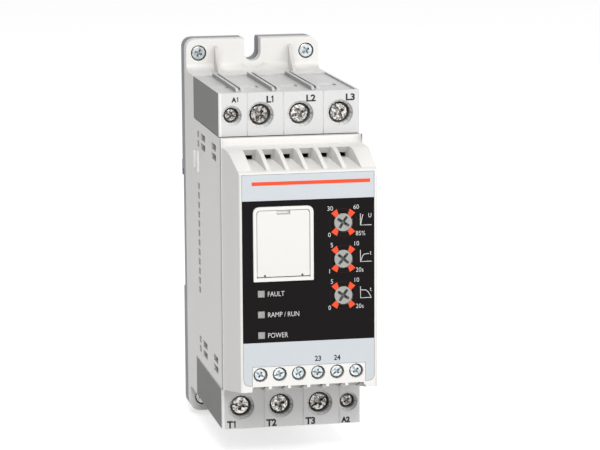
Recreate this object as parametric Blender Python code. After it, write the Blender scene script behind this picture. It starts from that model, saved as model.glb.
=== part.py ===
"""Compact motor soft starter, 45 mm wide, for a 35 mm rail or two panel screws.

Frame: metres, +Z up. The front faces -Y and the wall is on the +Y side. The origin is
on the rail seat, in the middle of the housing's width, on the rail's centre line.
"""

import math

import bmesh
import bpy
from mathutils import Matrix, Vector

MM = 0.001

# Clearances
GAP = 0.3 * MM
FILM_GAP = 0.1 * MM
PAST = 1.0 * MM
SINK = 0.3 * MM

# Rail recess in the rear plate
RAIL_WIDTH = 35.0 * MM
RAIL_THICKNESS = 1.0 * MM
RAIL_OVERLAP = 1.6 * MM
RECESS_DEPTH = 3.3 * MM
RECESS_ROOM_ABOVE = 0.7 * MM
RECESS_ROOM_BELOW = 4.8 * MM
SEAT_RISE = 0.3 * MM
SEAT_INSET = 0.4 * MM

# Rear plate and the ears
BODY_WIDTH = 45.0 * MM
EAR_RISE_TOP = 10.5 * MM
EAR_RISE_BOTTOM = 9.0 * MM
BASE_THICKNESS = 7.3 * MM
BASE_CHAMFER = 1.2 * MM
CORNER_RADIUS = 3.0 * MM
FLANGE_THICKNESS = 4.9 * MM
SLOT_WIDTH = 5.6 * MM
SLOT_DEPTH = 7.7 * MM
SLOT_CLEARANCE_RADIUS = 5.0 * MM
BASE_SCREW_EDGE = 4.2 * MM
BASE_SCREW_INSET = 4.6 * MM
BASE_SCREW_SHANK = 1.45 * MM
BASE_SCREW_HEAD = 2.35 * MM
BASE_SCREW_HEAD_HEIGHT = 1.8 * MM
BASE_SCREW_RECESS = 0.4 * MM

# Housing
BODY_HEIGHT = 107.5 * MM
BODY_RISE_SHARE = 0.48837
SHELF_DEPTH = 14.5 * MM
SHELF_FILLET = 2.4 * MM
BLOCK_DEPTH = 50.5 * MM
RIM_STEP = 0.7 * MM
WALL = 1.8 * MM
GUSSET_X = BODY_WIDTH * 0.28
GUSSET_THICKNESS = 0.9 * MM
GUSSET_HEIGHT = 8.2 * MM
GUSSET_REACH = 9.0 * MM

# Side vents of the housing
VENT_HEIGHT = 2.1 * MM
VENT_PITCH = 3.15 * MM
VENT_DROP = 3.2 * MM
VENT_COLUMNS = ((7.0 * MM, 4.0 * MM), (14.6 * MM, 8.6 * MM), (36.2 * MM, 8.4 * MM))
SMALL_VENT_COUNT = 12
SMALL_VENT_TOP = 18.2 * MM
CATCH_HEIGHT = 5.7 * MM
CATCH_SINK = 1.3 * MM
CATCH_DROP = 1.4 * MM
CATCH_SPANS = ((-0.7 * MM, 3.4 * MM), (4.8 * MM, 4.0 * MM))

# Terminal blocks
UPPER_BLOCK_HEIGHT = 13.6 * MM
LOWER_BLOCK_HEIGHT = 13.1 * MM
SCREW_DROP = 7.1 * MM
TERMINAL_PITCH = BODY_WIDTH * 0.28222
POWER_X = tuple(BODY_WIDTH * 0.07778 + i * TERMINAL_PITCH for i in (-1, 0, 1))
SUPPLY_X = -BODY_WIDTH * 0.40889
UPPER_GROOVES = tuple(TERMINAL_PITCH * share for share in (-1.063, -0.15, 0.85))
LOWER_GROOVES = tuple(TERMINAL_PITCH * share for share in (-0.7, 0.3, 1.2205))
RIB_SPREAD = TERMINAL_PITCH * 0.2205
RIB_WIDTH = 0.9 * MM
RIB_RAISE = 0.8 * MM
CHANNEL_DEPTH = 0.45 * MM
LIP_DEPTH = 2.2 * MM
BLOCK_EDGE_RADIUS = 0.8 * MM
BLOCK_WALL = 1.5 * MM
GROOVE_WIDTH = 0.35 * MM
GROOVE_DEPTH = 0.3 * MM
HEAD_RECESS = 2.2 * MM
HEAD_ROOM = 0.6 * MM
COLLAR = 1.1 * MM
CLAMP_SET_BACK = 15.9 * MM
FUNNEL_FLARE = 0.8 * MM

# Clamps: head, shank, cage and the wire space behind the current bar
BAR_THICKNESS = 1.5 * MM
WIRE_SPACE = 4.8 * MM
CLAMP_TRAVEL = 4.2 * MM
HEAD_HEIGHT = 2.7 * MM
POWER_CLAMP = {"head": TERMINAL_PITCH * 0.226, "shank": TERMINAL_PITCH * 0.1535,
               "inner": TERMINAL_PITCH * 0.52, "wall": TERMINAL_PITCH * 0.0785,
               "height": 7.0 * MM, "bar": TERMINAL_PITCH * 0.472, "entry": TERMINAL_PITCH * 0.425}
SUPPLY_CLAMP = {"head": TERMINAL_PITCH * 0.15, "shank": TERMINAL_PITCH * 0.1142,
                "inner": TERMINAL_PITCH * 0.3622, "wall": TERMINAL_PITCH * 0.0472,
                "height": 6.0 * MM, "bar": TERMINAL_PITCH * 0.2992, "entry": TERMINAL_PITCH * 0.3386}
CAGE_PLATE = 1.5 * MM

# Front cover
COVER_DEPTH = 28.5 * MM
COVER_NARROWING = 1.0 * MM
BAND_HEIGHT = 2.3 * MM
SLOPE_DROP = 5.3 * MM
UNDERSIDE_RISE = 5.1 * MM
LOUVRE_COUNT = 6
LOUVRE_PITCH = BODY_WIDTH * 0.13111
LOUVRE_CENTRE_X = -0.2 * MM
LOUVRE_SET_BACK = 18.0 * MM
LOUVRE_DEPTH = 3.4 * MM
LOUVRE_FLOOR_FALL = 1.2 * MM
LOUVRE_TOP_WIDTH = LOUVRE_PITCH * 0.695
LOUVRE_REAR_WIDTH = LOUVRE_PITCH * 0.5085
LOUVRE_FRONT_WIDTH = LOUVRE_PITCH * 0.8136
LOUVRE_HOLE = (LOUVRE_PITCH * 0.42, 1.5 * MM)
COVER_STRAIGHT = 8.0 * MM
COVER_EDGE = 0.7 * MM
BAND_WIDTH = 1.2 * MM
BAND_FOOT = 2.6 * MM
TOP_KNEE = 16.0 * MM
TOP_BEND = 12.0 * MM
TOP_BROW = 1.3 * MM

# Front film
LABEL_SIDE_INSET = 2.0 * MM
LABEL_TOP_INSET = 0.1 * MM
LABEL_BOTTOM_INSET = 2.0 * MM
LABEL_RADIUS = 2.0 * MM
LABEL_THICKNESS = 0.4 * MM

# Service door and its frame
DOOR_X = -BODY_WIDTH * 0.17444
DOOR_WIDTH = BODY_WIDTH * 0.35556
DOOR_HEIGHT_SHARE = 0.29778
DOOR_BOTTOM_SHARE = 0.53481
DOOR_THICKNESS = 1.4 * MM
DOOR_RADIUS = 1.0 * MM
DOOR_PIN_HEIGHT = 0.75 * MM
DOOR_PIN_RADIUS = 0.45 * MM
DOOR_PIN_LENGTH = 0.7 * MM
DOOR_NOTCH = (4.2 * MM, 0.9 * MM)
DOOR_SLIT_X = DOOR_WIDTH * 0.3625
FRAME_WALL = 1.05 * MM
FRAME_RADIUS = 1.8 * MM
FRAME_RAISE = 0.5 * MM
PORT_LEDGE = 0.9 * MM
PORT_WALL = 1.0 * MM
PORT_DEPTH = 7.0 * MM
SOCKET_SHARES = (0.4625, 0.4179)
SOCKET_RIM = 1.0 * MM
SOCKET_DEPTH = 3.0 * MM
SOCKET_STAND = 1.5 * MM

# Setting shafts
ADJUSTER_X = BODY_WIDTH * 0.24111
ADJUSTER_TOP_SHARE = 0.76889
ADJUSTER_PITCH_SHARE = 0.16815
ADJUSTER_RADIUS = 2.85 * MM
ADJUSTER_HEAD = 2.6 * MM
ADJUSTER_STEM = 1.5 * MM
SLOT_CUT = (0.8 * MM, 0.9 * MM)

# Light pipes
LIGHT_X = -BODY_WIDTH * 0.32889
LIGHT_TOP_SHARE = 0.45333
LIGHT_PITCH_SHARE = 0.09556
LIGHT_SIZE = 2.1 * MM

# Control terminals
CONTROL_COUNT = 6
CONTROL_PITCH = BODY_WIDTH * 0.13333
CONTROL_CENTRE_X = -0.2 * MM
CONTROL_RISE = 5.3 * MM
CONTROL_HEAD = CONTROL_PITCH * 0.305
CONTROL_SHANK = CONTROL_PITCH * 0.2
CONTROL_HEAD_HEIGHT = 1.2 * MM
CONTROL_HEAD_RECESS = 0.9 * MM
CONTROL_HEAD_ROOM = 0.45 * MM
CONTROL_TRAVEL = 2.25 * MM
CONTROL_WIRE_SPACE = 2.8 * MM
CONTROL_BAR = (CONTROL_PITCH * 0.4333, 0.8 * MM)
CONTROL_POCKET = CONTROL_PITCH * 0.8333
CONTROL_BLOCK_RISE = 5.2 * MM
CONTROL_BLOCK_DROP = 3.4 * MM
CONTROL_CAGE_WALL = 0.5 * MM
CONTROL_CAGE_PLATE = 0.8 * MM
CONTROL_CAGE_HEIGHT = 5.0 * MM
CONTROL_COLLAR = 1.5 * MM
CONTROL_REAR_WALL = 1.5 * MM
STRIP_RISE = 2.5 * MM
STRIP_HALF_WIDTH = BODY_WIDTH * 0.39333
TAB_HEIGHT = 0.8 * MM

# Inner pieces
BOARD_THICKNESS = 1.6 * MM
TRIMMER_DEPTH = 5.0 * MM
BAR_FOOT = 6.0 * MM
SINK_PLATE = 6.0 * MM
FIN_COUNT = 8
FIN_THICKNESS = 1.6 * MM
MODULE_SIZE = (BODY_WIDTH * 0.34444, 34.0 * MM)
MODULE_DEPTH = 12.0 * MM
MODULE_SPREAD = BODY_WIDTH * 0.21333
MODULE_PIN = 1.6 * MM
PIN_HALF = 1.0 * MM
RELAY_SIZE = (BODY_WIDTH * 0.26667, 15.5 * MM, 28.0 * MM)
RELAY_X = BODY_WIDTH * 0.30222
SIGNAL_RELAY_SIZE = (12.0 * MM, 9.0 * MM, 15.0 * MM)
LINK_SIZE = (8.0 * MM, 3.0 * MM)
LINK_RISE = 2.0 * MM
TRIMMER_HALF = 3.4 * MM
TRIMMER_FLOOR = 1.5 * MM
LAMP_SIZE = 1.0 * MM

# Rail latch and its spring
LATCH_WIDTH = BODY_WIDTH * 0.16889
LATCH_KEY = 1.2 * MM
LATCH_TRAVEL = 4.5 * MM
LATCH_TAIL = 2.0 * MM
LATCH_WINDOW = 4.0 * MM
LATCH_NECK = 3.7 * MM
SPRING_LENGTH = 14.4 * MM
SPRING_RADIUS = 1.2 * MM
SPRING_WIRE = 0.2 * MM
SPRING_TURNS = 6
POST_HEIGHT = 3.0 * MM

# Planes from the wall forward
REAR_Y = RECESS_DEPTH
BASE_FRONT_Y = REAR_Y - BASE_THICKNESS
FLANGE_REAR_Y = BASE_FRONT_Y - GAP
EAR_Y = FLANGE_REAR_Y - FLANGE_THICKNESS
SHELF_FRONT_Y = EAR_Y - SHELF_DEPTH
BLOCK_REAR_Y = SHELF_FRONT_Y - GAP
BLOCK_FRONT_Y = BLOCK_REAR_Y - BLOCK_DEPTH
SHELL_FRONT_Y = BLOCK_FRONT_Y - RIM_STEP
COVER_REAR_Y = SHELL_FRONT_Y - GAP
COVER_FRONT_Y = COVER_REAR_Y - COVER_DEPTH
COVER_INNER_Y = COVER_FRONT_Y + WALL
POCKET_Y = COVER_FRONT_Y + LABEL_THICKNESS + FILM_GAP

# Planes from the bottom up
HALF_WIDTH = BODY_WIDTH / 2
INNER_HALF = HALF_WIDTH - WALL
BASE_SCREW_X = HALF_WIDTH - BASE_SCREW_EDGE
BODY_TOP = BODY_HEIGHT * BODY_RISE_SHARE
BODY_BOTTOM = BODY_TOP - BODY_HEIGHT
BASE_TOP = BODY_TOP + EAR_RISE_TOP
BASE_BOTTOM = BODY_BOTTOM - EAR_RISE_BOTTOM
UPPER_BLOCK_BOTTOM = BODY_TOP - UPPER_BLOCK_HEIGHT
LOWER_BLOCK_TOP = BODY_BOTTOM + LOWER_BLOCK_HEIGHT
SHELL_TOP = UPPER_BLOCK_BOTTOM - GAP
SHELL_BOTTOM = LOWER_BLOCK_TOP + GAP
INNER_TOP = SHELL_TOP - WALL
INNER_BOTTOM = SHELL_BOTTOM + WALL
RAIL_TOP = RAIL_WIDTH / 2
RAIL_BOTTOM = -RAIL_WIDTH / 2
RECESS_TOP = RAIL_TOP + RECESS_ROOM_ABOVE
RECESS_BOTTOM = RAIL_BOTTOM - RECESS_ROOM_BELOW
SEAT_HALF = RAIL_TOP - RAIL_OVERLAP - SEAT_INSET
PLATEAU_Z = SHELL_TOP - BAND_HEIGHT
COVER_BOTTOM_FRONT = SHELL_BOTTOM + UNDERSIDE_RISE
COVER_TOP_FRONT = PLATEAU_Z - SLOPE_DROP
FACE_HEIGHT = COVER_TOP_FRONT - COVER_BOTTOM_FRONT
ENTRY_TOP = COVER_BOTTOM_FRONT + 2 * TAB_HEIGHT

# Places on the front, from its foot up
LABEL_HALF_WIDTH = HALF_WIDTH - LABEL_SIDE_INSET
LABEL_TOP = COVER_TOP_FRONT - LABEL_TOP_INSET
LABEL_BOTTOM = COVER_BOTTOM_FRONT + LABEL_BOTTOM_INSET
DOOR_HEIGHT = FACE_HEIGHT * DOOR_HEIGHT_SHARE
DOOR_BOTTOM = COVER_BOTTOM_FRONT + FACE_HEIGHT * DOOR_BOTTOM_SHARE
SOCKET_SIZE = (DOOR_WIDTH * SOCKET_SHARES[0], DOOR_HEIGHT * SOCKET_SHARES[1])
SOCKET_Z = DOOR_BOTTOM + DOOR_HEIGHT / 2
ADJUSTER_TOP_Z = COVER_BOTTOM_FRONT + FACE_HEIGHT * ADJUSTER_TOP_SHARE
ADJUSTER_PITCH = FACE_HEIGHT * ADJUSTER_PITCH_SHARE
LIGHT_TOP_Z = COVER_BOTTOM_FRONT + FACE_HEIGHT * LIGHT_TOP_SHARE
LIGHT_PITCH = FACE_HEIGHT * LIGHT_PITCH_SHARE
CONTROL_Z = COVER_BOTTOM_FRONT + CONTROL_RISE
STRIP_TOP = CONTROL_Z + STRIP_RISE

# Clamp planes, shared by screws, cages, bars and blocks
BAR_FRONT_Y = BLOCK_FRONT_Y + CLAMP_SET_BACK
BAR_REAR_Y = BAR_FRONT_Y + BAR_THICKNESS
WIRE_REAR_Y = BAR_REAR_Y + WIRE_SPACE
CAGE_FRONT_Y = BAR_FRONT_Y - GAP - CAGE_PLATE
CAGE_REAR_Y = WIRE_REAR_Y + CAGE_PLATE
HEAD_FRONT_Y = BLOCK_FRONT_Y + HEAD_RECESS
HEAD_REAR_Y = HEAD_FRONT_Y + HEAD_HEIGHT
COLLAR_FRONT_Y = HEAD_REAR_Y + GAP
COLLAR_REAR_Y = COLLAR_FRONT_Y + COLLAR
POWER_BOARD_Y = BAR_REAR_Y + GAP
UPPER_SCREW_Z = BODY_TOP - SCREW_DROP
LOWER_SCREW_Z = BODY_BOTTOM + SCREW_DROP

BASE_SCREW_END = REAR_Y - WALL
POWER_BOARD_REAR_Y = POWER_BOARD_Y + BOARD_THICKNESS
MODULE_FRONT_Y = POWER_BOARD_REAR_Y + GAP + MODULE_PIN
SINK_FRONT_Y = MODULE_FRONT_Y + MODULE_DEPTH + GAP

# Latch and spring planes
BASE_SCREW_INNER = HALF_WIDTH - BASE_SCREW_EDGE - BASE_SCREW_SHANK - GAP
LATCH_X = (SLOT_WIDTH / 2 + BASE_SCREW_INNER) / 2
LATCH_FLOOR_Y = RAIL_THICKNESS - LATCH_KEY - 2 * GAP
LATCH_STEP_Y = RAIL_THICKNESS + GAP
LATCH_TOP = RAIL_BOTTOM - LATCH_KEY - 2 * GAP
LATCH_BOTTOM = BASE_BOTTOM - LATCH_TAIL
WINDOW_TOP = RECESS_BOTTOM - LATCH_NECK
POST_TOP = WINDOW_TOP - SPRING_LENGTH - 2 * GAP
WINDOW_BOTTOM = POST_TOP - POST_HEIGHT - GAP

# Control clamp planes
CONTROL_HEAD_Y = COVER_FRONT_Y + CONTROL_HEAD_RECESS
CONTROL_SEAT_Y = CONTROL_HEAD_Y + CONTROL_HEAD_HEIGHT
CONTROL_BLOCK_Y = CONTROL_SEAT_Y + GAP
CONTROL_POCKET_Y = CONTROL_BLOCK_Y + CONTROL_COLLAR
CONTROL_CAGE_Y = CONTROL_POCKET_Y + CONTROL_TRAVEL + GAP
CONTROL_BAR_Y = CONTROL_CAGE_Y + CONTROL_CAGE_PLATE + GAP
CONTROL_WIRE_Y = CONTROL_BAR_Y + CONTROL_BAR[1]
CONTROL_CAGE_REAR_Y = CONTROL_WIRE_Y + CONTROL_WIRE_SPACE + CONTROL_CAGE_PLATE
CONTROL_POCKET_REAR_Y = CONTROL_CAGE_REAR_Y + GAP
CONTROL_BLOCK_REAR_Y = CONTROL_POCKET_REAR_Y + CONTROL_REAR_WALL
CONTROL_BOARD_Y = CONTROL_BLOCK_REAR_Y + GAP
TRIMMER_Y = CONTROL_BOARD_Y - TRIMMER_DEPTH
CONTROL_BLOCK_TOP = CONTROL_Z + CONTROL_BLOCK_RISE
CONTROL_BLOCK_BOTTOM = CONTROL_Z - CONTROL_BLOCK_DROP

# Door planes
DOOR_FRONT_Y = COVER_FRONT_Y - FRAME_RAISE + FILM_GAP
DOOR_AXIS_Y = DOOR_FRONT_Y + DOOR_THICKNESS / 2
DOOR_AXIS_Z = DOOR_BOTTOM + DOOR_PIN_HEIGHT
DOOR_SWING = math.hypot(DOOR_THICKNESS / 2, DOOR_PIN_HEIGHT)
FRAME_INNER_BOTTOM = DOOR_AXIS_Z - DOOR_SWING - GAP
FRAME_INNER_TOP = DOOR_BOTTOM + DOOR_HEIGHT + GAP
FRAME_HALF = DOOR_WIDTH / 2 + GAP + FRAME_WALL
LEDGE_Y = DOOR_AXIS_Y + DOOR_SWING + GAP

TURN_SIDES = 12
HEAD_SIDES = 16

COLOURS = {
    "white": ((0.86, 0.86, 0.84), 0.42, 0.0),
    "light_grey": ((0.62, 0.63, 0.63), 0.45, 0.0),
    "rear_grey": ((0.36, 0.38, 0.41), 0.5, 0.0),
    "film": ((0.55, 0.57, 0.59), 0.35, 0.0),
    "shaft_grey": ((0.38, 0.37, 0.36), 0.45, 0.0),
    "pipe": ((0.42, 0.43, 0.42), 0.25, 0.0),
    "steel": ((0.62, 0.61, 0.58), 0.25, 1.0),
    "copper": ((0.75, 0.42, 0.25), 0.3, 1.0),
    "alloy": ((0.66, 0.67, 0.68), 0.35, 1.0),
    "board": ((0.05, 0.22, 0.09), 0.5, 0.0),
    "black": ((0.03, 0.03, 0.03), 0.5, 0.0),
}


# Scene and object helpers

def clear_scene():
    """Remove every object and empty collection of the open scene."""
    for obj in list(bpy.data.objects):
        bpy.data.objects.remove(obj, do_unlink=True)
    for collection in list(bpy.data.collections):
        bpy.data.collections.remove(collection)


def new_collection(name):
    collection = bpy.data.collections.new(name)
    bpy.context.scene.collection.children.link(collection)
    return collection


def add_object(name, mesh, cutter=False):
    """Put a mesh in the parts collection, or in the cutters one where it isn't shown."""
    obj = bpy.data.objects.new(name, mesh)
    if cutter:
        bpy.data.collections["cutters"].objects.link(obj)
        obj.hide_render = True
        obj.display_type = "WIRE"
    else:
        bpy.data.collections["soft_starter"].objects.link(obj)
    return obj


def paint(obj, colour):
    """Give an object its own Principled material in one of the named colours."""
    rgb, roughness, metallic = COLOURS[colour]
    material = bpy.data.materials.new(obj.name)
    material.use_nodes = True
    shader = material.node_tree.nodes["Principled BSDF"]
    shader.inputs["Base Color"].default_value = (*rgb, 1.0)
    shader.inputs["Roughness"].default_value = roughness
    shader.inputs["Metallic"].default_value = metallic
    obj.data.materials.clear()
    obj.data.materials.append(material)


def box(name, low, high, cutter=False):
    """A box between two corners."""
    mesh = bpy.data.meshes.new(name)
    bm = bmesh.new()
    bmesh.ops.create_cube(bm, size=1.0)
    for vert in bm.verts:
        vert.co = [a if side < 0 else b for side, a, b in zip(vert.co, low, high)]
    bm.to_mesh(mesh)
    bm.free()
    return add_object(name, mesh, cutter)


def rod(name, centre, radius, low, high, axis="Y", sides=TURN_SIDES, cutter=False):
    """A cylinder along one axis, given its centre across that axis."""
    mesh = bpy.data.meshes.new(name)
    bm = bmesh.new()
    middle = (low + high) / 2
    a, b = centre
    turn = {"X": Matrix.Rotation(math.pi / 2, 4, "Y"), "Y": Matrix.Rotation(math.pi / 2, 4, "X"),
            "Z": Matrix.Identity(4)}[axis]
    spot = {"X": (middle, a, b), "Y": (a, middle, b), "Z": (a, b, middle)}[axis]
    bmesh.ops.create_cone(bm, cap_ends=True, segments=sides, radius1=radius, radius2=radius,
                          depth=high - low, matrix=Matrix.Translation(spot) @ turn)
    bm.to_mesh(mesh)
    bm.free()
    return add_object(name, mesh, cutter)


def hull(name, points, cutter=False):
    """The convex solid over a few corner points."""
    mesh = bpy.data.meshes.new(name)
    bm = bmesh.new()
    for point in points:
        bm.verts.new(point)
    bmesh.ops.convex_hull(bm, input=bm.verts)
    bmesh.ops.recalc_face_normals(bm, faces=bm.faces)
    bm.to_mesh(mesh)
    bm.free()
    return add_object(name, mesh, cutter)


def prism(name, outline, axis, low, high, cutter=False):
    """A flat outline drawn out along one axis: (x, z) along Y, (y, z) along X, (x, y) along Z."""
    curve = bpy.data.curves.new(name + "_outline", "CURVE")
    curve.dimensions = "2D"
    curve.fill_mode = "BOTH"
    curve.extrude = abs(high - low) / 2
    spline = curve.splines.new("POLY")
    spline.points.add(len(outline) - 1)
    for point, (a, b) in zip(spline.points, outline):
        point.co = (a, b, 0.0, 1.0)
    spline.use_cyclic_u = True
    guide = bpy.data.objects.new(name + "_outline", curve)
    bpy.context.scene.collection.objects.link(guide)
    middle = (low + high) / 2
    columns = {"X": ((0, 1, 0), (0, 0, 1), (1, 0, 0), (middle, 0, 0)),
               "Y": ((1, 0, 0), (0, 0, 1), (0, -1, 0), (0, middle, 0)),
               "Z": ((1, 0, 0), (0, 1, 0), (0, 0, 1), (0, 0, middle))}[axis]
    place = Matrix.Identity(4)
    for index, column in enumerate(columns):
        for row in range(3):
            place[row][index] = column[row]
    guide.matrix_world = place
    bpy.context.view_layer.update()
    evaluated = guide.evaluated_get(bpy.context.evaluated_depsgraph_get())
    mesh = bpy.data.meshes.new_from_object(evaluated)
    mesh.name = name
    weld(mesh)
    obj = add_object(name, mesh, cutter)
    obj.matrix_world = guide.matrix_world
    bpy.data.objects.remove(guide, do_unlink=True)
    return obj


def weld(mesh):
    """Join a curve's loose caps to its sides."""
    bm = bmesh.new()
    bm.from_mesh(mesh)
    bmesh.ops.remove_doubles(bm, verts=bm.verts, dist=0.001 * MM)
    bmesh.ops.recalc_face_normals(bm, faces=bm.faces)
    bm.to_mesh(mesh)
    bm.free()


def turned(name, profile, centre, sides=TURN_SIDES):
    """A solid turned about an axis along Y. The profile is (radius, depth behind the front)."""
    x, front, z = centre
    mesh = bpy.data.meshes.new(name)
    bm = bmesh.new()
    line = []
    for radius, depth in profile:
        line.append(bm.verts.new((x + radius, front + depth, z)))
    edges = [bm.edges.new(pair) for pair in zip(line, line[1:])]
    bmesh.ops.spin(bm, geom=line + edges, cent=(x, 0.0, z), axis=(0.0, 1.0, 0.0),
                   angle=2 * math.pi, steps=sides, use_merge=True)
    bmesh.ops.remove_doubles(bm, verts=bm.verts, dist=0.001 * MM)
    bmesh.ops.recalc_face_normals(bm, faces=bm.faces)
    bm.to_mesh(mesh)
    bm.free()
    return add_object(name, mesh)


def gather(name, pieces, cutter=True):
    """Put several separate solids in one object, to cut or add them together."""
    bm = bmesh.new()
    for piece in pieces:
        piece.data.transform(piece.matrix_world)
        bm.from_mesh(piece.data)
        bpy.data.objects.remove(piece, do_unlink=True)
    mesh = bpy.data.meshes.new(name)
    bm.to_mesh(mesh)
    bm.free()
    return add_object(name, mesh, cutter)


def combine(target, tool, operation):
    """Add a Boolean modifier to the target that uses one tool object."""
    bpy.context.view_layer.update()
    modifier = target.modifiers.new(tool.name, "BOOLEAN")
    modifier.operation = operation
    modifier.solver = "EXACT"
    modifier.object = tool
    return target


def cut(target, *tools):
    for tool in tools:
        combine(target, tool, "DIFFERENCE")
    return target


def join(target, *tools):
    for tool in tools:
        combine(target, tool, "UNION")
    return target


def move_origin(obj, point):
    """Put an object's origin on its joint's axis without moving the shape."""
    place = Matrix.Translation(point)
    obj.data.transform(place.inverted() @ obj.matrix_world)
    obj.matrix_world = place


# Outlines

def arc(centre, radius, start, end, steps):
    """Points of an arc, angles in degrees."""
    points = []
    for i in range(steps + 1):
        angle = math.radians(start + (end - start) * i / steps)
        points.append((centre[0] + radius * math.cos(angle), centre[1] + radius * math.sin(angle)))
    return points


def round_rectangle(left, right, bottom, top, top_radius, bottom_radius, steps=3):
    """A rectangle with round corners, or square ones where the radius is zero."""
    corners = (((right, top), top_radius, (-1, -1), 0), ((left, top), top_radius, (1, -1), 90),
               ((left, bottom), bottom_radius, (1, 1), 180),
               ((right, bottom), bottom_radius, (-1, 1), 270))
    points = []
    for (a, b), radius, (inward_a, inward_b), start in corners:
        if radius <= 0:
            points.append((a, b))
            continue
        centre = (a + inward_a * radius, b + inward_b * radius)
        points += arc(centre, radius, start, start + 90, steps)
    return points


# Rear plate

def u_slot(name, inward, edge, low, high):
    """A slot open at one end of the plate. The way in from that end is 1 or -1."""
    centre = edge + inward * (SLOT_DEPTH - SLOT_WIDTH / 2)
    half = SLOT_WIDTH / 2
    start = 180 if inward < 0 else 0
    outline = [(-half if inward < 0 else half, edge - inward * PAST)]
    outline += arc((0.0, centre), half, start, start + 180, 8)
    outline.append((half if inward < 0 else -half, edge - inward * PAST))
    return prism(name, outline, "Y", low, high, cutter=True)


def chamfer_rear(obj, rear, width):
    """Chamfer the outline edges of a plate's rear face."""
    mesh = obj.data
    mesh.transform(obj.matrix_world)
    obj.matrix_world = Matrix.Identity(4)
    bm = bmesh.new()
    bm.from_mesh(mesh)
    edges = []
    for edge in bm.edges:
        flat = all(abs(vert.co.y - rear) < 0.01 * MM for vert in edge.verts)
        outer = any(abs(face.normal.y) < 0.5 for face in edge.link_faces)
        if flat and outer:
            edges.append(edge)
    bmesh.ops.bevel(bm, geom=edges, offset=width, segments=1, affect="EDGES")
    bm.to_mesh(mesh)
    bm.free()


def mounting_base():
    """Rear plate: rail recess with its fixed lip, U-slots and the latch's groove."""
    outline = round_rectangle(-HALF_WIDTH, HALF_WIDTH, BASE_BOTTOM, BASE_TOP,
                              CORNER_RADIUS, CORNER_RADIUS, 4)
    base = prism("mounting_base", outline, "Y", BASE_FRONT_Y, REAR_Y)
    chamfer_rear(base, REAR_Y, BASE_CHAMFER)
    lip_y = RAIL_THICKNESS + GAP
    lip_end = RAIL_TOP - RAIL_OVERLAP
    root_y = -SEAT_RISE - SINK
    lip = [(root_y, RECESS_TOP + RECESS_DEPTH), (root_y, RECESS_TOP), (lip_y, RECESS_TOP),
           (lip_y, lip_end + GAP), (lip_y + GAP, lip_end), (REAR_Y, lip_end),
           (REAR_Y, RECESS_TOP + RECESS_DEPTH - GAP)]
    recess = box("rail_recess", (-BODY_WIDTH, 0.0, RECESS_BOTTOM),
                 (BODY_WIDTH, REAR_Y + PAST, RECESS_TOP), cutter=True)
    above = box("step_above_seat", (-BODY_WIDTH, -SEAT_RISE, SEAT_HALF),
                (BODY_WIDTH, REAR_Y + PAST, RECESS_TOP), cutter=True)
    below = box("step_below_seat", (-BODY_WIDTH, -SEAT_RISE, RECESS_BOTTOM),
                (BODY_WIDTH, REAR_Y + PAST, -SEAT_HALF), cutter=True)
    cut(base, recess, above, below)
    join(base, prism("rail_lip", lip, "X", -HALF_WIDTH, HALF_WIDTH, cutter=True))
    cut(base, u_slot("base_slot_top", -1, BASE_TOP, BASE_FRONT_Y - PAST, REAR_Y + PAST),
        u_slot("base_slot_bottom", 1, BASE_BOTTOM, BASE_FRONT_Y - PAST, REAR_Y + PAST))
    cut(base, *latch_groove())
    join(base, latch_post())
    holes = [rod("hole", spot, BASE_SCREW_SHANK + GAP, BASE_FRONT_Y - PAST, BASE_SCREW_END + GAP,
                 sides=8, cutter=True) for spot in base_screw_spots()]
    cut(base, gather("base_screw_holes", holes))
    paint(base, "rear_grey")


# Rail latch, in a T-shaped groove of the rear plate

def latch_groove():
    """The groove's wide part for the latch's key, and its narrower mouth."""
    wide = LATCH_WIDTH / 2 + LATCH_KEY + GAP
    narrow = LATCH_WIDTH / 2 + GAP
    deep = box("latch_groove", (LATCH_X - wide, LATCH_FLOOR_Y, BASE_BOTTOM - PAST),
               (LATCH_X + wide, LATCH_STEP_Y + GAP, LATCH_TOP + GAP), cutter=True)
    mouth = box("latch_mouth", (LATCH_X - narrow, LATCH_STEP_Y, BASE_BOTTOM - PAST),
                (LATCH_X + narrow, REAR_Y + PAST, RECESS_BOTTOM + PAST), cutter=True)
    return deep, mouth


def latch_post():
    """The post on the groove's floor that the spring bears on."""
    half = LATCH_WINDOW / 2 - GAP
    return box("latch_post", (LATCH_X - half, LATCH_FLOOR_Y - SINK, POST_TOP - POST_HEIGHT),
               (LATCH_X + half, LATCH_STEP_Y + GAP, POST_TOP), cutter=True)


def rail_latch():
    """Sliding latch: key strip, body, nose under the rail's edge and a tail to pull."""
    key_half = LATCH_WIDTH / 2 + LATCH_KEY
    half = LATCH_WIDTH / 2
    rear = REAR_Y - GAP
    nose_top = RAIL_BOTTOM + RAIL_OVERLAP
    front = LATCH_FLOOR_Y + GAP
    body = [(front, LATCH_BOTTOM), (rear, LATCH_BOTTOM), (rear, nose_top - RAIL_OVERLAP),
            (LATCH_STEP_Y + GAP, nose_top), (LATCH_STEP_Y, nose_top), (LATCH_STEP_Y, LATCH_TOP),
            (front, LATCH_TOP)]
    latch = prism("rail_latch", body, "X", LATCH_X - half, LATCH_X + half)
    key = box("latch_key", (LATCH_X - key_half, front, BASE_BOTTOM + CORNER_RADIUS),
              (LATCH_X + key_half, LATCH_STEP_Y, LATCH_TOP), cutter=True)
    window = box("latch_window", (LATCH_X - LATCH_WINDOW / 2, front - PAST, WINDOW_BOTTOM),
                 (LATCH_X + LATCH_WINDOW / 2, rear + PAST, WINDOW_TOP), cutter=True)
    pull = box("latch_pull", (LATCH_X - half / 2, front - PAST, LATCH_BOTTOM - PAST),
               (LATCH_X + half / 2, (front + rear) / 2, BASE_BOTTOM - GAP), cutter=True)
    join(latch, key)
    cut(latch, window, pull)
    paint(latch, "black")


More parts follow.
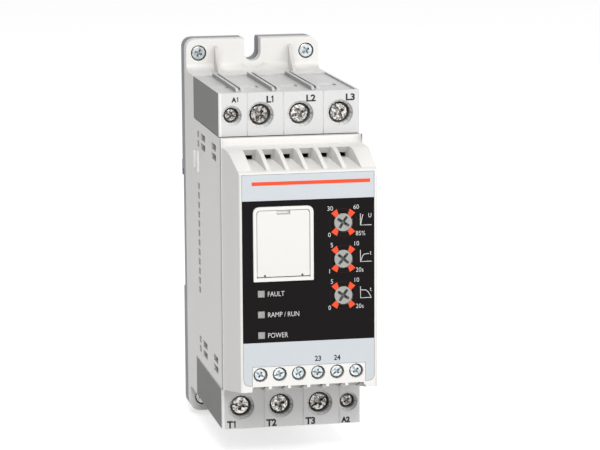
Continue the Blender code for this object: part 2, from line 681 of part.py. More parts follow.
def latch_spring():
    """Compression spring between the post and the top of the latch's window."""
    curve = bpy.data.curves.new("latch_spring", "CURVE")
    curve.dimensions = "3D"
    curve.bevel_depth = SPRING_WIRE
    curve.bevel_resolution = 1
    curve.use_fill_caps = True
    spline = curve.splines.new("POLY")
    per_turn = 8
    count = SPRING_TURNS * per_turn + 1
    spline.points.add(count - 1)
    centre_y = (LATCH_FLOOR_Y + REAR_Y) / 2
    low = POST_TOP + GAP + SPRING_WIRE
    high = WINDOW_TOP - GAP - SPRING_WIRE
    for i, point in enumerate(spline.points):
        angle = 2 * math.pi * i / per_turn
        height = low + (high - low) * i / (count - 1)
        point.co = (LATCH_X + SPRING_RADIUS * math.cos(angle),
                    centre_y + SPRING_RADIUS * math.sin(angle), height, 1.0)
    spring = bpy.data.objects.new("latch_spring", curve)
    bpy.data.collections["soft_starter"].objects.link(spring)
    paint(spring, "steel")


# Housing shell

def base_screw_spots():
    """The (x, z) places of the four screws in the ears."""
    spots = []
    for z in (BASE_TOP - BASE_SCREW_INSET, BASE_BOTTOM + BASE_SCREW_INSET):
        spots += [(-BASE_SCREW_X, z), (BASE_SCREW_X, z)]
    return spots


def shell_side():
    """The housing's side view as (y, z) points, upper half then lower half."""
    centre_y = EAR_Y - SHELF_FILLET
    top = [(FLANGE_REAR_Y, BASE_TOP), (EAR_Y, BASE_TOP)]
    top += arc((centre_y, BODY_TOP + SHELF_FILLET), SHELF_FILLET, 0, -90, 4)
    top += [(SHELF_FRONT_Y, BODY_TOP), (SHELF_FRONT_Y, SHELL_TOP), (SHELL_FRONT_Y, SHELL_TOP)]
    bottom = [(SHELL_FRONT_Y, SHELL_BOTTOM), (SHELF_FRONT_Y, SHELL_BOTTOM),
              (SHELF_FRONT_Y, BODY_BOTTOM)]
    bottom += arc((centre_y, BODY_BOTTOM - SHELF_FILLET), SHELF_FILLET, 90, 0, 4)
    bottom += [(EAR_Y, BASE_BOTTOM), (FLANGE_REAR_Y, BASE_BOTTOM)]
    return top + bottom


def side_vents():
    """Slots through both side walls: three columns near each block, one long row."""
    slots = []
    reach = HALF_WIDTH + PAST
    upper = [SHELL_TOP - VENT_DROP - i * VENT_PITCH for i in range(2)]
    lower = [SHELL_BOTTOM + VENT_DROP + VENT_HEIGHT + i * VENT_PITCH for i in range(2)]
    middle = [SMALL_VENT_TOP - i * VENT_PITCH for i in range(SMALL_VENT_COUNT)]
    for index, (start, length) in enumerate(VENT_COLUMNS):
        front = SHELF_FRONT_Y - start - length
        heights = upper + lower + (middle if index == 0 else [])
        for top in heights:
            slots.append(box("slot", (-reach, front, top - VENT_HEIGHT),
                             (reach, SHELF_FRONT_Y - start, top), cutter=True))
    return gather("side_vents", slots)


def side_catches():
    """Pockets of the snap catches in both side walls, each a ramp that is deepest at its front."""
    pockets = []
    top = SHELL_TOP - VENT_DROP - 2 * VENT_PITCH - CATCH_DROP
    for side in (-1, 1):
        outside = side * (HALF_WIDTH + SINK)
        for start, width in CATCH_SPANS:
            rear = SHELF_FRONT_Y - start
            past = SINK * width / CATCH_SINK
            outline = [(outside, rear + past), (outside, rear - width),
                       (side * (HALF_WIDTH - CATCH_SINK), rear - width)]
            pockets.append(prism("pocket", outline, "Z", top - CATCH_HEIGHT, top, cutter=True))
    return gather("side_catches", pockets)


def gussets():
    """Thin triangular ribs between the ears and the shelves."""
    plates = []
    for side in (-1, 1):
        low = side * GUSSET_X - GUSSET_THICKNESS / 2
        for shelf, way in ((BODY_TOP, 1), (BODY_BOTTOM, -1)):
            outline = [(EAR_Y + SINK, shelf - way * SINK), (EAR_Y + SINK, shelf + way * GUSSET_HEIGHT),
                       (EAR_Y, shelf + way * GUSSET_HEIGHT),
                       (EAR_Y - GUSSET_REACH, shelf - way * SINK)]
            plates.append(prism("gusset", outline, "X", low, low + GUSSET_THICKNESS, cutter=True))
    return gather("gussets", plates)


def body_shell():
    """White housing, open at the front and the rear, with eared flanges."""
    shell = prism("body_shell", shell_side(), "X", -HALF_WIDTH, HALF_WIDTH)
    frame = round_rectangle(-HALF_WIDTH, HALF_WIDTH, BASE_BOTTOM, BASE_TOP,
                            CORNER_RADIUS, CORNER_RADIUS, 4)
    rounded = prism("ear_corners", frame, "Y", SHELL_FRONT_Y - PAST, FLANGE_REAR_Y + PAST,
                    cutter=True)
    combine(shell, rounded, "INTERSECT")
    join(shell, gussets())
    middle = box("shell_middle", (-INNER_HALF, SHELL_FRONT_Y - PAST, INNER_BOTTOM),
                 (INNER_HALF, FLANGE_REAR_Y + PAST, INNER_TOP), cutter=True)
    rear = box("shell_rear", (-INNER_HALF, SHELF_FRONT_Y + WALL, BODY_BOTTOM + WALL),
               (INNER_HALF, FLANGE_REAR_Y + PAST, BODY_TOP - WALL), cutter=True)
    cut(shell, middle, rear, side_vents(), side_catches(), bar_window())
    for name, way, edge in (("top", -1, BASE_TOP), ("bottom", 1, BASE_BOTTOM)):
        cut(shell, u_slot("shell_slot_" + name, way, edge, EAR_Y - SHELF_DEPTH, FLANGE_REAR_Y + PAST))
        centre = edge + way * (SLOT_DEPTH - SLOT_WIDTH / 2)
        cut(shell, rod("washer_room_" + name, (0.0, centre), SLOT_CLEARANCE_RADIUS,
                       EAR_Y - SHELF_DEPTH, EAR_Y, sides=24, cutter=True))
    seats = []
    for spot in base_screw_spots():
        depth = EAR_Y + BASE_SCREW_RECESS + BASE_SCREW_HEAD_HEIGHT + GAP
        seats.append(rod("seat", spot, BASE_SCREW_HEAD + GAP, EAR_Y - PAST, depth,
                         sides=16, cutter=True))
    holes = [rod("hole", spot, BASE_SCREW_SHANK + GAP, EAR_Y, FLANGE_REAR_Y + PAST,
                 sides=8, cutter=True) for spot in base_screw_spots()]
    cut(shell, gather("ear_screw_seats", seats), gather("ear_screw_holes", holes))
    paint(shell, "white")


def bar_window():
    """Slots in the housing's top and bottom walls that the current bars pass through."""
    windows = []
    for low, high in ((INNER_TOP - PAST, SHELL_TOP + PAST), (SHELL_BOTTOM - PAST, INNER_BOTTOM + PAST)):
        windows.append(box("window", (-INNER_HALF + GAP, BAR_FRONT_Y - 2 * GAP, low),
                           (INNER_HALF - GAP, BAR_REAR_Y + 2 * GAP, high), cutter=True))
    return gather("bar_window", windows)


def base_screws():
    """Screws that hold the housing's ears to the rear plate."""
    front = EAR_Y + BASE_SCREW_RECESS
    length = BASE_SCREW_END - front
    rim = BASE_SCREW_HEAD - BASE_SCREW_RECESS
    profile = [(0.0, 0.0), (rim, 0.0), (BASE_SCREW_HEAD, BASE_SCREW_RECESS),
               (BASE_SCREW_HEAD, BASE_SCREW_HEAD_HEIGHT), (BASE_SCREW_SHANK, BASE_SCREW_HEAD_HEIGHT),
               (BASE_SCREW_SHANK, length - BASE_SCREW_SHANK), (0.0, length)]
    for index, (x, z) in enumerate(base_screw_spots()):
        screw = turned("base_screw_%d" % (index + 1), profile, (x, front, z), 10)
        cut(screw, *cross("base_cross_%d" % (index + 1), (x, front, z), BASE_SCREW_HEAD, 0.35))
        paint(screw, "steel")


def cross(name, centre, head_radius, share):
    """A cross recess in a screw's face: two crossed bars sunk by a share of the head radius."""
    x, front, z = centre
    rear = front + head_radius * share
    long_half = head_radius * 0.72
    thin_half = head_radius * 0.15
    flat = box(name + "_flat", (x - long_half, front - PAST, z - thin_half),
               (x + long_half, rear, z + thin_half), cutter=True)
    upright = box(name + "_upright", (x - thin_half, front - PAST, z - long_half),
                  (x + thin_half, rear, z + long_half), cutter=True)
    return flat, upright


# Terminal blocks and their clamps

def clamps(upper):
    """Each clamp of one block: its mark, x and sizes. The lower block is the upper one turned."""
    way = 1 if upper else -1
    marks = ("L1", "L2", "L3") if upper else ("T3", "T2", "T1")
    rows = [(mark, way * x, POWER_CLAMP) for mark, x in zip(marks, POWER_X)]
    rows.append(("A1" if upper else "A2", way * SUPPLY_X, SUPPLY_CLAMP))
    return rows


def clamp_half(sizes):
    """Half the outer width of a clamp's cage."""
    return sizes["inner"] / 2 + sizes["wall"]


def terminal_block(name, upper):
    """Light grey block: screw wells, cage pockets, wire funnels, ribs and channels."""
    way = 1 if upper else -1
    inner_z = UPPER_BLOCK_BOTTOM if upper else LOWER_BLOCK_TOP
    outer_z = BODY_TOP if upper else BODY_BOTTOM
    screw_z = UPPER_SCREW_Z if upper else LOWER_SCREW_Z
    grooves = UPPER_GROOVES if upper else LOWER_GROOVES
    low_z, high_z = sorted((inner_z, outer_z))
    plan = [(-HALF_WIDTH, BLOCK_REAR_Y)]
    plan += arc((-HALF_WIDTH + BLOCK_EDGE_RADIUS, BLOCK_FRONT_Y + BLOCK_EDGE_RADIUS),
                BLOCK_EDGE_RADIUS, 180, 270, 3)
    plan += arc((HALF_WIDTH - BLOCK_EDGE_RADIUS, BLOCK_FRONT_Y + BLOCK_EDGE_RADIUS),
                BLOCK_EDGE_RADIUS, 270, 360, 3)
    plan.append((HALF_WIDTH, BLOCK_REAR_Y))
    block = prism(name, plan, "Z", low_z, high_z)
    cut(block, *block_channels(name, outer_z, way, grooves))
    join(block, block_ribs(name, outer_z, way, grooves))
    rear_low, rear_high = low_z + BLOCK_WALL, high_z - BLOCK_WALL - CHANNEL_DEPTH
    if not upper:
        rear_low, rear_high = low_z + BLOCK_WALL + CHANNEL_DEPTH, high_z - BLOCK_WALL
    core = box(name + "_core", (-INNER_HALF, CAGE_REAR_Y + GAP + BLOCK_WALL, rear_low),
               (INNER_HALF, BLOCK_REAR_Y + PAST, rear_high), cutter=True)
    pockets = []
    collars = []
    wells = []
    funnels = []
    flares = []
    slots = []
    for mark, x, sizes in clamps(upper):
        half = clamp_half(sizes) + GAP
        pockets.append(box("pocket", (x - half, COLLAR_REAR_Y, rear_low),
                           (x + half, CAGE_REAR_Y + GAP, rear_high), cutter=True))
        collars.append(rod("collar", (x, screw_z), sizes["shank"] + GAP, COLLAR_FRONT_Y - PAST / 2,
                           COLLAR_REAR_Y + PAST, cutter=True))
        wells.append(rod("well", (x, screw_z), sizes["head"] + HEAD_ROOM, BLOCK_FRONT_Y - PAST,
                         COLLAR_FRONT_Y, sides=HEAD_SIDES, cutter=True))
        entry = sizes["entry"] / 2
        front, rear = BAR_REAR_Y + FILM_GAP, WIRE_REAR_Y - FILM_GAP
        outside = outer_z + way * PAST
        funnels.append(box("funnel", (x - entry, front, min(screw_z, outside)),
                           (x + entry, rear, max(screw_z, outside)), cutter=True))
        flares.append(funnel_flare(x, entry, front, rear, outer_z, way))
        bar = sizes["bar"] / 2 + GAP
        slots.append(box("slot", (x - bar, BAR_FRONT_Y - GAP, min(screw_z, inner_z - way * PAST)),
                         (x + bar, BAR_REAR_Y + GAP, max(screw_z, inner_z - way * PAST)), cutter=True))
    cut(block, core, gather(name + "_pockets", pockets), gather(name + "_wells", wells),
        gather(name + "_collars", collars), gather(name + "_slots", slots),
        gather(name + "_funnels", funnels), gather(name + "_flares", flares))
    paint(block, "light_grey")


def funnel_flare(x, entry, front, rear, outer_z, way):
    """The widening mouth of a wire funnel."""
    floor = outer_z - way * CHANNEL_DEPTH
    bottom = floor - way * FUNNEL_FLARE
    top = floor + way * PAST
    wide = FUNNEL_FLARE + PAST
    half = entry - SINK
    start = front + SINK
    points = []
    for a, b in ((-half, start), (half, start), (half, rear), (-half, rear)):
        points.append((x + a, b, bottom))
    for a, b in ((-half, start), (half, start), (half, rear + wide), (-half, rear + wide)):
        points.append((x + a, b, top))
    return hull("flare", points, cutter=True)


def block_channels(name, outer_z, way, grooves):
    """The shallow floor that the ribs stand on, and thin grooves down the front."""
    z = sorted((outer_z - way * CHANNEL_DEPTH, outer_z + way * PAST))
    half = HALF_WIDTH - BLOCK_EDGE_RADIUS
    floor = box(name + "_floor", (-half, BLOCK_FRONT_Y + LIP_DEPTH, z[0]),
                (half, BLOCK_REAR_Y + PAST, z[1]), cutter=True)
    lines = []
    for x in grooves:
        lines.append(box("line", (x - GROOVE_WIDTH / 2, BLOCK_FRONT_Y - PAST, BASE_BOTTOM),
                         (x + GROOVE_WIDTH / 2, BLOCK_FRONT_Y + GROOVE_DEPTH, BASE_TOP),
                         cutter=True))
    return floor, gather(name + "_lines", lines)


def block_ribs(name, outer_z, way, grooves):
    """Pairs of ribs from behind the front lip to the rear, with sloped front ends."""
    front = BLOCK_FRONT_Y + 2 * LIP_DEPTH
    outline = [(front, outer_z - way * (CHANNEL_DEPTH + SINK)), (front, outer_z - way * CHANNEL_DEPTH / 2),
               (front + LIP_DEPTH, outer_z + way * RIB_RAISE), (BLOCK_REAR_Y, outer_z + way * RIB_RAISE),
               (BLOCK_REAR_Y, outer_z - way * (CHANNEL_DEPTH + SINK))]
    ribs = []
    for x in grooves:
        for left in (x - RIB_SPREAD + SINK / 2, x - RIB_WIDTH - SINK / 2):
            ribs.append(prism("rib", outline, "X", left, left + RIB_WIDTH, cutter=True))
    return gather(name + "_ribs", ribs)


def clamp_screw(mark, x, z, sizes):
    """Captive clamp screw with a cross recess; it turns in place."""
    length = BAR_FRONT_Y - GAP - HEAD_FRONT_Y
    rim = sizes["head"] * 0.86
    profile = [(0.0, 0.0), (rim, 0.0), (sizes["head"], sizes["head"] - rim),
               (sizes["head"], HEAD_HEIGHT), (sizes["shank"], HEAD_HEIGHT),
               (sizes["shank"], length), (0.0, length)]
    screw = turned("terminal_screw_" + mark, profile, (x, HEAD_FRONT_Y, z))
    cut(screw, *cross("cross_" + mark, (x, HEAD_FRONT_Y, z), sizes["head"], 0.4))
    paint(screw, "steel")


def clamp_cage(mark, x, z, sizes):
    """Rising cage: a square loop around the current bar, pulled forward by the screw."""
    half = clamp_half(sizes)
    low = z - sizes["height"] / 2
    high = z + sizes["height"] / 2
    cage = box("terminal_cage_" + mark, (x - half, CAGE_FRONT_Y, low), (x + half, CAGE_REAR_Y, high))
    inner = sizes["inner"] / 2
    window = box("cage_window_" + mark, (x - inner, CAGE_FRONT_Y + CAGE_PLATE, low - PAST),
                 (x + inner, WIRE_REAR_Y, high + PAST), cutter=True)
    hole = rod("cage_hole_" + mark, (x, z), sizes["shank"] + GAP / 2, CAGE_FRONT_Y - PAST,
               CAGE_FRONT_Y + CAGE_PLATE + PAST, cutter=True)
    cut(cage, window, hole)
    paint(cage, "steel")


def power_terminals():
    """The screws and cages of both blocks."""
    for upper, z in ((True, UPPER_SCREW_Z), (False, LOWER_SCREW_Z)):
        for mark, x, sizes in clamps(upper):
            clamp_screw(mark, x, z, sizes)
            clamp_cage(mark, x, z, sizes)


# Front cover

def cover_side(inset):
    """The cover's side view as (y, z) points, or its inner one where the inset is a wall."""
    front = COVER_FRONT_Y + inset
    rear = COVER_REAR_Y + (PAST if inset else 0.0)
    top_front = COVER_TOP_FRONT
    if inset:
        step = COVER_FRONT_Y + LOUVRE_SET_BACK + WALL
        floor = PLATEAU_Z - LOUVRE_DEPTH - WALL
        slope = UNDERSIDE_RISE / COVER_DEPTH
        return [(rear, PLATEAU_Z - WALL), (step, PLATEAU_Z - WALL), (step, floor),
                (front, floor - LOUVRE_FLOOR_FALL),
                (front, COVER_BOTTOM_FRONT + WALL - slope * WALL),
                (rear, SHELL_BOTTOM + WALL - slope * PAST)]
    knee = COVER_FRONT_Y + TOP_KNEE
    bend = COVER_FRONT_Y + TOP_BEND
    brow = COVER_FRONT_Y + TOP_BROW
    foot = rear - BAND_FOOT
    return [(rear, SHELL_TOP), (rear - BAND_WIDTH, SHELL_TOP),
            ((rear - BAND_WIDTH + foot) / 2, (SHELL_TOP + PLATEAU_Z) / 2), (foot, PLATEAU_Z),
            (knee, PLATEAU_Z - SLOPE_DROP * 0.02), (bend, PLATEAU_Z - SLOPE_DROP * 0.17),
            (brow, top_front + SLOPE_DROP * 0.19), (front + LABEL_THICKNESS, top_front + SLOPE_DROP * 0.09),
            (front, top_front), (front, COVER_BOTTOM_FRONT), (rear, SHELL_BOTTOM)]


def cover_plan(inset):
    """The cover seen from above: straight at the rear, narrowing to round front edges."""
    half = HALF_WIDTH - inset
    narrow = half - COVER_NARROWING
    front = COVER_FRONT_Y + inset
    start = COVER_REAR_Y - COVER_STRAIGHT
    rear = COVER_REAR_Y + PAST
    edge = COVER_EDGE
    left = [(-half, rear), (-half, start)]
    left += arc((-narrow + edge, front + edge), edge, 190, 270, 3)
    right = [(-x, y) for x, y in reversed(left)]
    return left + right


def louvres():
    """Pockets in the sloped top, each with a hole at the foot of its rear wall."""
    pockets = []
    holes = []
    rear = COVER_FRONT_Y + LOUVRE_SET_BACK
    front = COVER_FRONT_Y - PAST
    floor = PLATEAU_Z - LOUVRE_DEPTH
    top = SHELL_TOP
    first = LOUVRE_CENTRE_X - LOUVRE_PITCH * (LOUVRE_COUNT - 1) / 2
    for i in range(LOUVRE_COUNT):
        x = first + i * LOUVRE_PITCH
        spread = LOUVRE_TOP_WIDTH / 2 + (LOUVRE_TOP_WIDTH - LOUVRE_REAR_WIDTH) / 2
        points = [(x - spread, rear, top), (x + spread, rear, top)]
        points += [(x - LOUVRE_REAR_WIDTH / 2, rear, floor), (x + LOUVRE_REAR_WIDTH / 2, rear, floor)]
        points += [(x - LOUVRE_FRONT_WIDTH / 2, front, top), (x + LOUVRE_FRONT_WIDTH / 2, front, top)]
        points += [(x - LOUVRE_FRONT_WIDTH / 2, front, floor - LOUVRE_FLOOR_FALL),
                   (x + LOUVRE_FRONT_WIDTH / 2, front, floor - LOUVRE_FLOOR_FALL)]
        pockets.append(hull("pocket", points, cutter=True))
        width, height = LOUVRE_HOLE
        left = x - LOUVRE_REAR_WIDTH / 2 + FILM_GAP
        holes.append(box("hole", (left, rear - SINK, floor + FILM_GAP),
                         (left + width, rear + WALL + PAST, floor + FILM_GAP + height), cutter=True))
    return gather("louvre_pockets", pockets), gather("louvre_holes", holes)


def control_positions():
    """The x places of the six control terminals."""
    first = CONTROL_CENTRE_X - CONTROL_PITCH * (CONTROL_COUNT - 1) / 2
    return [first + i * CONTROL_PITCH for i in range(CONTROL_COUNT)]


def adjuster_heights():
    return [ADJUSTER_TOP_Z - i * ADJUSTER_PITCH for i in range(3)]


def light_heights():
    return [LIGHT_TOP_Z - i * LIGHT_PITCH for i in range(3)]


def frame_outline(grow):
    """The door frame's outer outline, grown or shrunk by a clearance."""
    return round_rectangle(DOOR_X - FRAME_HALF - grow, DOOR_X + FRAME_HALF + grow,
                           FRAME_INNER_BOTTOM - FRAME_WALL - grow, FRAME_INNER_TOP + FRAME_WALL + grow,
                           FRAME_RADIUS, GAP, 3)


def film_shape(name, grow, low, high, cutter):
    """The film's plate, or the recess that it lies in where it is grown by a clearance."""
    outline = round_rectangle(-LABEL_HALF_WIDTH - grow, LABEL_HALF_WIDTH + grow,
                              LABEL_BOTTOM - grow, LABEL_TOP + grow, 0.0, LABEL_RADIUS)
    film = prism(name, outline, "Y", low, high, cutter)
    frame = prism(name + "_frame", frame_outline(FILM_GAP - grow), "Y", low - PAST, high + PAST, cutter=True)
    side = STRIP_HALF_WIDTH + FILM_GAP - grow
    strip = box(name + "_strip", (-side, low - PAST, LABEL_BOTTOM - PAST),
                (side, high + PAST, STRIP_TOP + FILM_GAP - grow), cutter=True)
    cut(film, frame, strip)
    return film


def front_cover():
    """White front: louvres, film recess, door frame and port, adjuster and light holes."""
    cover = prism("front_cover", cover_side(0.0), "X", -HALF_WIDTH, HALF_WIDTH)
    plan = prism("cover_plan", cover_plan(0.0), "Z", BASE_BOTTOM, BASE_TOP, cutter=True)
    combine(cover, plan, "INTERSECT")
    inner = prism("cover_inside", cover_side(WALL), "X", -HALF_WIDTH, HALF_WIDTH, cutter=True)
    inner_plan = prism("cover_inside_plan", cover_plan(WALL), "Z", BASE_BOTTOM, BASE_TOP, cutter=True)
    combine(inner, inner_plan, "INTERSECT")
    cut(cover, inner)
    cut(cover, *louvres())
    cut(cover, film_shape("film_recess", FILM_GAP, COVER_FRONT_Y - PAST, POCKET_Y, True))
    join(cover, *door_frame())
    cut(cover, *door_openings())
    holes = []
    for z in adjuster_heights():
        holes.append(rod("hole", (ADJUSTER_X, z), ADJUSTER_RADIUS + GAP, COVER_FRONT_Y - PAST,
                         COVER_INNER_Y + PAST, sides=HEAD_SIDES, cutter=True))
    half = LIGHT_SIZE / 2 + GAP / 2
    for z in light_heights():
        holes.append(box("hole", (LIGHT_X - half, COVER_FRONT_Y - PAST, z - half),
                         (LIGHT_X + half, COVER_INNER_Y + PAST, z + half), cutter=True))
    for x in control_positions():
        holes.append(rod("well", (x, CONTROL_Z), CONTROL_HEAD + CONTROL_HEAD_ROOM, COVER_FRONT_Y - PAST,
                         COVER_INNER_Y + PAST, cutter=True))
    cut(cover, gather("cover_holes", holes), *control_entries())
    paint(cover, "white")


def door_frame():
    """The raised frame around the door, and the walls and floor of the port behind it."""
    frame = prism("door_frame", frame_outline(0.0), "Y", COVER_FRONT_Y - FRAME_RAISE,
                  COVER_INNER_Y - SINK, cutter=True)
    half = DOOR_WIDTH / 2 - PORT_LEDGE + PORT_WALL
    low = FRAME_INNER_BOTTOM + PORT_LEDGE - PORT_WALL
    high = FRAME_INNER_TOP - PORT_LEDGE + PORT_WALL
    tub = box("port_tub", (DOOR_X - half, COVER_INNER_Y - SINK, low),
              (DOOR_X + half, COVER_INNER_Y + PORT_DEPTH, high), cutter=True)
    return frame, tub


def door_openings():
    """What is taken out for the door: its seat, the port, the socket's window, pin holes."""
    half = DOOR_WIDTH / 2 + GAP
    seat = prism("door_seat", round_rectangle(DOOR_X - half, DOOR_X + half, FRAME_INNER_BOTTOM,
                                              FRAME_INNER_TOP, DOOR_RADIUS, 0.0),
                 "Y", COVER_FRONT_Y - FRAME_RAISE - PAST, LEDGE_Y, cutter=True)
    half = DOOR_WIDTH / 2 - PORT_LEDGE
    port = box("port", (DOOR_X - half, LEDGE_Y - PAST, FRAME_INNER_BOTTOM + PORT_LEDGE),
               (DOOR_X + half, COVER_INNER_Y + PORT_DEPTH - PORT_WALL, FRAME_INNER_TOP - PORT_LEDGE),
               cutter=True)
    wide, tall = (size / 2 + GAP for size in SOCKET_SIZE)
    window = box("socket_window", (DOOR_X - wide, COVER_INNER_Y, SOCKET_Z - tall),
                 (DOOR_X + wide, COVER_INNER_Y + PORT_DEPTH + PAST, SOCKET_Z + tall), cutter=True)
    reach = DOOR_WIDTH / 2 + DOOR_PIN_LENGTH + GAP
    pins = rod("pin_holes", (DOOR_AXIS_Y, DOOR_AXIS_Z), DOOR_PIN_RADIUS + GAP / 2,
               DOOR_X - reach, DOOR_X + reach, axis="X", sides=8, cutter=True)
    return seat, port, window, pins


def control_entries():
    """Wire entries under the control terminals, open at the front edge between short tabs."""
    entries = []
    half = CONTROL_POCKET / 2
    for x in control_positions():
        entries.append(box("entry", (x - half, COVER_FRONT_Y - PAST, SHELL_BOTTOM - PAST),
                           (x + half, CONTROL_POCKET_REAR_Y, ENTRY_TOP), cutter=True))
    edge = max(control_positions()) + CONTROL_PITCH / 2
    trim = box("tab_trim", (-edge, COVER_FRONT_Y - PAST, SHELL_BOTTOM - PAST),
               (edge, COVER_INNER_Y + 2 * WALL, COVER_BOTTOM_FRONT + TAB_HEIGHT), cutter=True)
    return gather("control_entries", entries), trim


def front_label():
    """Printed film, cut out for the door frame, setting shafts, light pipes and terminals."""
    low = COVER_FRONT_Y
    high = COVER_FRONT_Y + LABEL_THICKNESS
    film = film_shape("front_label", 0.0, low, high, False)
    holes = []
    for z in adjuster_heights():
        holes.append(rod("hole", (ADJUSTER_X, z), ADJUSTER_RADIUS + GAP, low - PAST, high + PAST,
                         sides=HEAD_SIDES, cutter=True))
    half = LIGHT_SIZE / 2 + GAP / 2
    for z in light_heights():
        holes.append(box("hole", (LIGHT_X - half, low - PAST, z - half),
                         (LIGHT_X + half, high + PAST, z + half), cutter=True))
    cut(film, gather("film_holes", holes))
    paint(film, "film")


def service_door():
    """Small door on two pins at its bottom edge, with a finger notch at the top."""
    half = DOOR_WIDTH / 2
    top = DOOR_BOTTOM + DOOR_HEIGHT
    rear = DOOR_FRONT_Y + DOOR_THICKNESS
    outline = round_rectangle(DOOR_X - half, DOOR_X + half, DOOR_BOTTOM, top, DOOR_RADIUS, 0.0)
    door = prism("service_door", outline, "Y", DOOR_FRONT_Y, rear)
    reach = half + DOOR_PIN_LENGTH
    pins = rod("door_pins", (DOOR_AXIS_Y, DOOR_AXIS_Z), DOOR_PIN_RADIUS, DOOR_X - reach,
               DOOR_X + reach, axis="X", sides=8, cutter=True)
    width, height = DOOR_NOTCH
    notch = box("door_notch", (DOOR_X - width / 2, DOOR_FRONT_Y - PAST, top - height),
                (DOOR_X + width / 2, DOOR_FRONT_Y + DOOR_THICKNESS / 2, top + PAST), cutter=True)
    slits = []
    for side in (-1, 1):
        x = DOOR_X + side * DOOR_SLIT_X
        slits.append(box("slit", (x - GAP, DOOR_FRONT_Y - PAST, DOOR_BOTTOM - PAST),
                         (x + GAP, rear + PAST, DOOR_BOTTOM + DOOR_PIN_HEIGHT * 0.6), cutter=True))
    move_origin(door, (DOOR_X, DOOR_AXIS_Y, DOOR_AXIS_Z))
    join(door, pins)
    cut(door, notch, gather("door_slits", slits))
    paint(door, "white")


# Setting shafts and light pipes

def adjusters():
    """Slotted setting shafts whose stems turn in the trimmers on the control board."""
    names = ("adjuster_voltage", "adjuster_ramp_up", "adjuster_ramp_down")
    length = CONTROL_BOARD_Y - TRIMMER_FLOOR - COVER_FRONT_Y
    for name, z in zip(names, adjuster_heights()):
        profile = [(0.0, 0.0), (ADJUSTER_RADIUS - FILM_GAP, 0.0), (ADJUSTER_RADIUS, FILM_GAP),
                   (ADJUSTER_RADIUS, ADJUSTER_HEAD), (ADJUSTER_STEM, ADJUSTER_HEAD),
                   (ADJUSTER_STEM, length), (0.0, length)]
        shaft = turned(name, profile, (ADJUSTER_X, COVER_FRONT_Y, z), HEAD_SIDES)
        width, depth = SLOT_CUT
        reach = ADJUSTER_RADIUS * 0.75
        for index, (across, along) in enumerate(((reach, width / 2), (width / 2, reach))):
            cut(shaft, box("%s_slot_%d" % (name, index), (ADJUSTER_X - across, COVER_FRONT_Y - PAST, z - along),
                           (ADJUSTER_X + across, COVER_FRONT_Y + depth, z + along), cutter=True))
        paint(shaft, "shaft_grey")


def light_pipes():
    """Square light pipes from the film's face back to the lamps on the control board."""
    half = LIGHT_SIZE / 2
    lamp_y = CONTROL_BOARD_Y - LAMP_SIZE
    for name, z in zip(("alarm", "ramp", "supply"), light_heights()):
        pipe = box("light_pipe_" + name, (LIGHT_X - half, COVER_FRONT_Y, z - half),
                   (LIGHT_X + half, lamp_y - GAP, z + half))
        paint(pipe, "pipe")


# Control terminals

def control_terminals():
    """The block behind the cover's wells, with its screws and rising cages."""
    xs = control_positions()
    edge = CONTROL_PITCH / 2
    block = box("control_terminal_block", (xs[0] - edge, CONTROL_BLOCK_Y, CONTROL_BLOCK_BOTTOM),
                (xs[-1] + edge, CONTROL_BLOCK_REAR_Y, CONTROL_BLOCK_TOP))
    half = CONTROL_POCKET / 2
    pockets = [box("pocket", (x - half, CONTROL_POCKET_Y, CONTROL_BLOCK_BOTTOM - PAST),
                   (x + half, CONTROL_POCKET_REAR_Y, CONTROL_BLOCK_TOP + PAST), cutter=True) for x in xs]
    holes = [rod("hole", (x, CONTROL_Z), CONTROL_SHANK + GAP, CONTROL_BLOCK_Y - PAST,
                 CONTROL_POCKET_Y + PAST, sides=8, cutter=True) for x in xs]
    cut(block, gather("control_pockets", pockets), gather("control_holes", holes))
    paint(block, "white")
    for index, x in enumerate(xs):
        control_screw(index + 1, x)
        control_cage(index + 1, x)


def control_screw(number, x):
    """Captive screw of one control terminal."""
    length = CONTROL_BAR_Y - GAP - CONTROL_HEAD_Y
    rim = CONTROL_HEAD * 0.88
    profile = [(0.0, 0.0), (rim, 0.0), (CONTROL_HEAD, CONTROL_HEAD - rim),
               (CONTROL_HEAD, CONTROL_HEAD_HEIGHT), (CONTROL_SHANK, CONTROL_HEAD_HEIGHT),
               (CONTROL_SHANK, length), (0.0, length)]
    screw = turned("control_screw_%d" % number, profile, (x, CONTROL_HEAD_Y, CONTROL_Z), 10)
    cut(screw, *cross("control_cross_%d" % number, (x, CONTROL_HEAD_Y, CONTROL_Z), CONTROL_HEAD, 0.3))
    paint(screw, "steel")


def control_cage(number, x):
    """Rising cage of one control terminal."""
    half = CONTROL_POCKET / 2 - GAP
    inner = half - CONTROL_CAGE_WALL
    low = CONTROL_Z - CONTROL_CAGE_HEIGHT / 2
    high = CONTROL_Z + CONTROL_CAGE_HEIGHT / 2
    cage = box("control_cage_%d" % number, (x - half, CONTROL_CAGE_Y, low),
               (x + half, CONTROL_CAGE_REAR_Y, high))
    window = box("control_window_%d" % number, (x - inner, CONTROL_CAGE_Y + CONTROL_CAGE_PLATE, low - PAST),
                 (x + inner, CONTROL_CAGE_REAR_Y - CONTROL_CAGE_PLATE, high + PAST), cutter=True)
    hole = rod("control_cage_hole_%d" % number, (x, CONTROL_Z), CONTROL_SHANK + GAP / 2,
               CONTROL_CAGE_Y - PAST, CONTROL_CAGE_Y + CONTROL_CAGE_PLATE + PAST, sides=8, cutter=True)
    cut(cage, window, hole)
    paint(cage, "steel")


# Inside: boards, heat sink, switching parts

